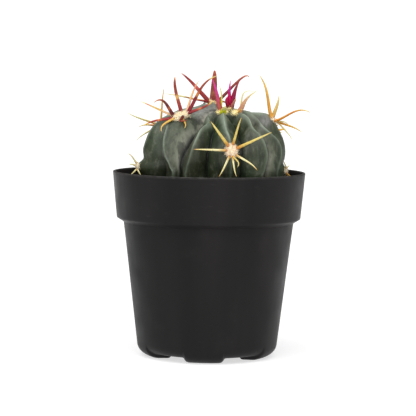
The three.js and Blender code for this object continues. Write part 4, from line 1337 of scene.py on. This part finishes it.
def spine_lines(name, seat, pad, spines):
    """The middle lines of a bunch's spines, with the thickness, flat side and colour at each point."""
    at, out, up, across = seat
    points = []
    edges = []
    radii = []
    flats = []
    colours = []
    for x, y, z, bow_x, bow_y, bow_z, width, look in spines:
        way = np.array([x, y, z], float)
        length = np.linalg.norm(way)
        heading = unit(way)
        sideways = heading - out * (heading @ out)
        spread = across * ((across @ sideways) * pad[0]) + up * ((up @ sideways) * pad[1])
        root = at + spread * ROOT_SPREAD - heading * ROOT_SUNK + out * ROOT_SUNK
        steps = max(FEWEST_STEPS, round(length / SPINE_STEP))
        shares = np.linspace(0, 1, steps + 1)
        # The bow is in full two thirds of the way up, where this hump is 1
        hump = (27 / 4) * shares ** 2 * (1 - shares)
        bow = np.array([bow_x, bow_y, bow_z], float)
        line = root + (at + way - root) * shares[:, None] + bow * hump[:, None]
        tangents = unit(np.gradient(line, axis=0))
        rings = 1 + RING_HIGH * np.sin(2 * math.pi * shares * length / RING_SPACE)
        narrowing, closing = TAPER.get(look, USUAL_TAPER)
        taper = (1 - narrowing * shares) * np.sqrt(np.maximum(1 - shares ** closing, 0)) * rings
        edges.extend((len(points) + i, len(points) + i + 1) for i in range(steps))
        points.extend(line)
        radii.extend(np.maximum(width / 2 * taper, FINEST_TIP))
        flats.extend(unit(np.cross(np.cross(tangents, out + FLAT_TURN), tangents)))
        colours.extend(spine_colours(look, shares))
    mesh = bpy.data.meshes.new(name)
    mesh.from_pydata([tuple(point * MM) for point in points], edges, [])
    keep(mesh, "thick", np.array(radii, np.float32) * MM)
    keep(mesh, "flat_side", flats, "FLOAT_VECTOR", "vector")
    keep(mesh, "spine_tint", colours, "FLOAT_COLOR", "color")
    return mesh


def spine_tree():
    tree = Tree("spines", {"Sides": "Int", "Flatness": "Float", "Finish": "Material"})
    line = tree.node("GeometryNodeMeshToCurve", Mesh=tree.size("Geometry"))
    thick = tree.node("GeometryNodeInputNamedAttribute", {"data_type": "FLOAT"}, Name="thick")
    flat = tree.node("GeometryNodeInputNamedAttribute", {"data_type": "FLOAT_VECTOR"}, Name="flat_side")
    turned = tree.node("GeometryNodeSetCurveNormal", {"mode": "FREE"}, Curve=line, Normal=flat)
    ring = tree.node("GeometryNodeCurvePrimitiveCircle", Resolution=tree.size("Sides"), Radius=1.0)
    shape = tree.node("ShaderNodeCombineXYZ", X=tree.size("Flatness"), Y=1.0, Z=1.0)
    section = tree.node("GeometryNodeTransform", Geometry=ring, Scale=shape)
    tube = tree.node("GeometryNodeCurveToMesh", Curve=turned, Profile_Curve=section, Scale=thick,
                     Fill_Caps=True)
    return tree.end(tube)


def spine_finish():
    horn = Finish("horny_spine", roughness=0.45, specular=0.3)
    horn.tint = horn.attribute("spine_tint", "Color")
    horn.coat(1.0, horn.patches(1500, 0.3, 0.7, 0.72, 0.98, detail=3), "MULTIPLY")
    let_light_in(horn, 0.08, (0.6, 0.3, 0.15))
    return horn.done(horn.bump(horn.noise(2400, detail=3), 0.0001, 0.5))


horn = spine_finish()
spine_maker = spine_tree()
draws = draws_from(SPINE_SEED)
looks = cycle(RULED_LOOKS)
for name, (rib, t, _) in AREOLES.items():
    if name in BUNCHES:
        spines, slot = BUNCHES[name], SLOTS[name]
    else:
        first, second, slot = next(looks)
        reach, ring = RULED.get(name, RULED_LOW)
        spines = ruled_spines(t, seats[name], reach, ring, (first, second), draws)
    lines = spine_lines("lines_" + name, seats[name], WOOL.get(name, OLD_WOOL), spines)
    bunch = grown("spines_" + name, spine_maker, lines, Sides=SPINE_SIDES, Flatness=SPINE_FLAT, Finish=horn)
    bpy.data.meshes.remove(lines)
    bunch.data.shade_smooth()
    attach(bunch, "root")
    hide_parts("areole_" + name)


# ---- Studio --------------------------------------------------------------------------------------
# A seamless white table under a wide soft light from above and a little to the front, with white
# surroundings and two weak side lamps that draw the waxy sheen on the ribs.

# The camera: its place and lens in millimetres, and its turns in degrees
EYE = (0.0, -650.0, 101.8)
PITCH = -4.618
YAW = 0.02
ROLL = 0.75
LENS = 169.2
SENSOR = 36

TABLE_REACH = 9000
TABLE_GREY = (0.45, 0.45, 0.45, 1)
TABLE_GLOW = 0.65
WHITE = (1, 1, 1, 1)
SKY_LIGHT = 0.3
SKY_SEEN = 1.2
AIM = Vector((0, 0, 0.06))

white = Finish("white_table", roughness=0.9, specular=0.1)
white.set("Base Color", TABLE_GREY)
white.set("Emission Color", WHITE)
white.set("Emission Strength", TABLE_GLOW)
corners = [(x * TABLE_REACH, y * TABLE_REACH, 0) for x, y in [(-1, -1), (1, -1), (1, 1), (-1, 1)]]
floor = mesh_piece("table", corners, [(0, 1, 2, 3)], white.material)
floor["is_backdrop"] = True

world = bpy.data.worlds.new("studio")
bpy.context.scene.world = world
world.use_nodes = True
sky = Nodes(world.node_tree)
light = world.node_tree.nodes["Background"]
sky.put(light.inputs["Color"], WHITE)
sky.put(light.inputs["Strength"], SKY_LIGHT)
seen = sky.node("ShaderNodeBackground", Color=WHITE, Strength=SKY_SEEN)
choice = sky.node("ShaderNodeMixShader")
sky.put(choice.inputs[0], sky.node("ShaderNodeLightPath").outputs["Is Camera Ray"])
sky.put(choice.inputs[1], light)
sky.put(choice.inputs[2], seen)
sky.put(world.node_tree.nodes["World Output"].inputs["Surface"], choice)


def lamp(name, kind, place, energy, **settings):
    """A lamp that looks from its place, in metres, towards the plant."""
    light = bpy.data.lights.new(name, kind)
    light.energy = energy
    for key, value in settings.items():
        setattr(light, key, value)
    holder = new_piece(name, light)
    holder.location = Vector(place)
    holder.rotation_mode = "QUATERNION"
    holder.rotation_quaternion = (AIM - Vector(place)).to_track_quat("-Z", "Y")


lamp("overhead", "SUN", (-0.2, -1.0, 1.8), 3.3, angle=math.radians(75))
lamp("left", "AREA", (-0.75, -0.75, 0.35), 0.8, size=0.5)
lamp("right", "AREA", (0.85, -0.6, 0.3), 0.8, size=0.4)

camera = new_piece("camera", bpy.data.cameras.new("camera"))
camera.data.lens = LENS
camera.data.sensor_width = SENSOR
camera.data.clip_start = 0.01
camera.data.clip_end = 20
look = Matrix.Rotation(math.radians(YAW), 4, "Z") @ Matrix.Rotation(math.radians(90 + PITCH), 4, "X")
look = look @ Matrix.Rotation(math.radians(ROLL), 4, "Z")
camera.matrix_world = Matrix.Translation(Vector(EYE) * MM) @ look
bpy.context.scene.camera = camera
bpy.context.scene.view_settings.view_transform = "Standard"

low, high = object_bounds()
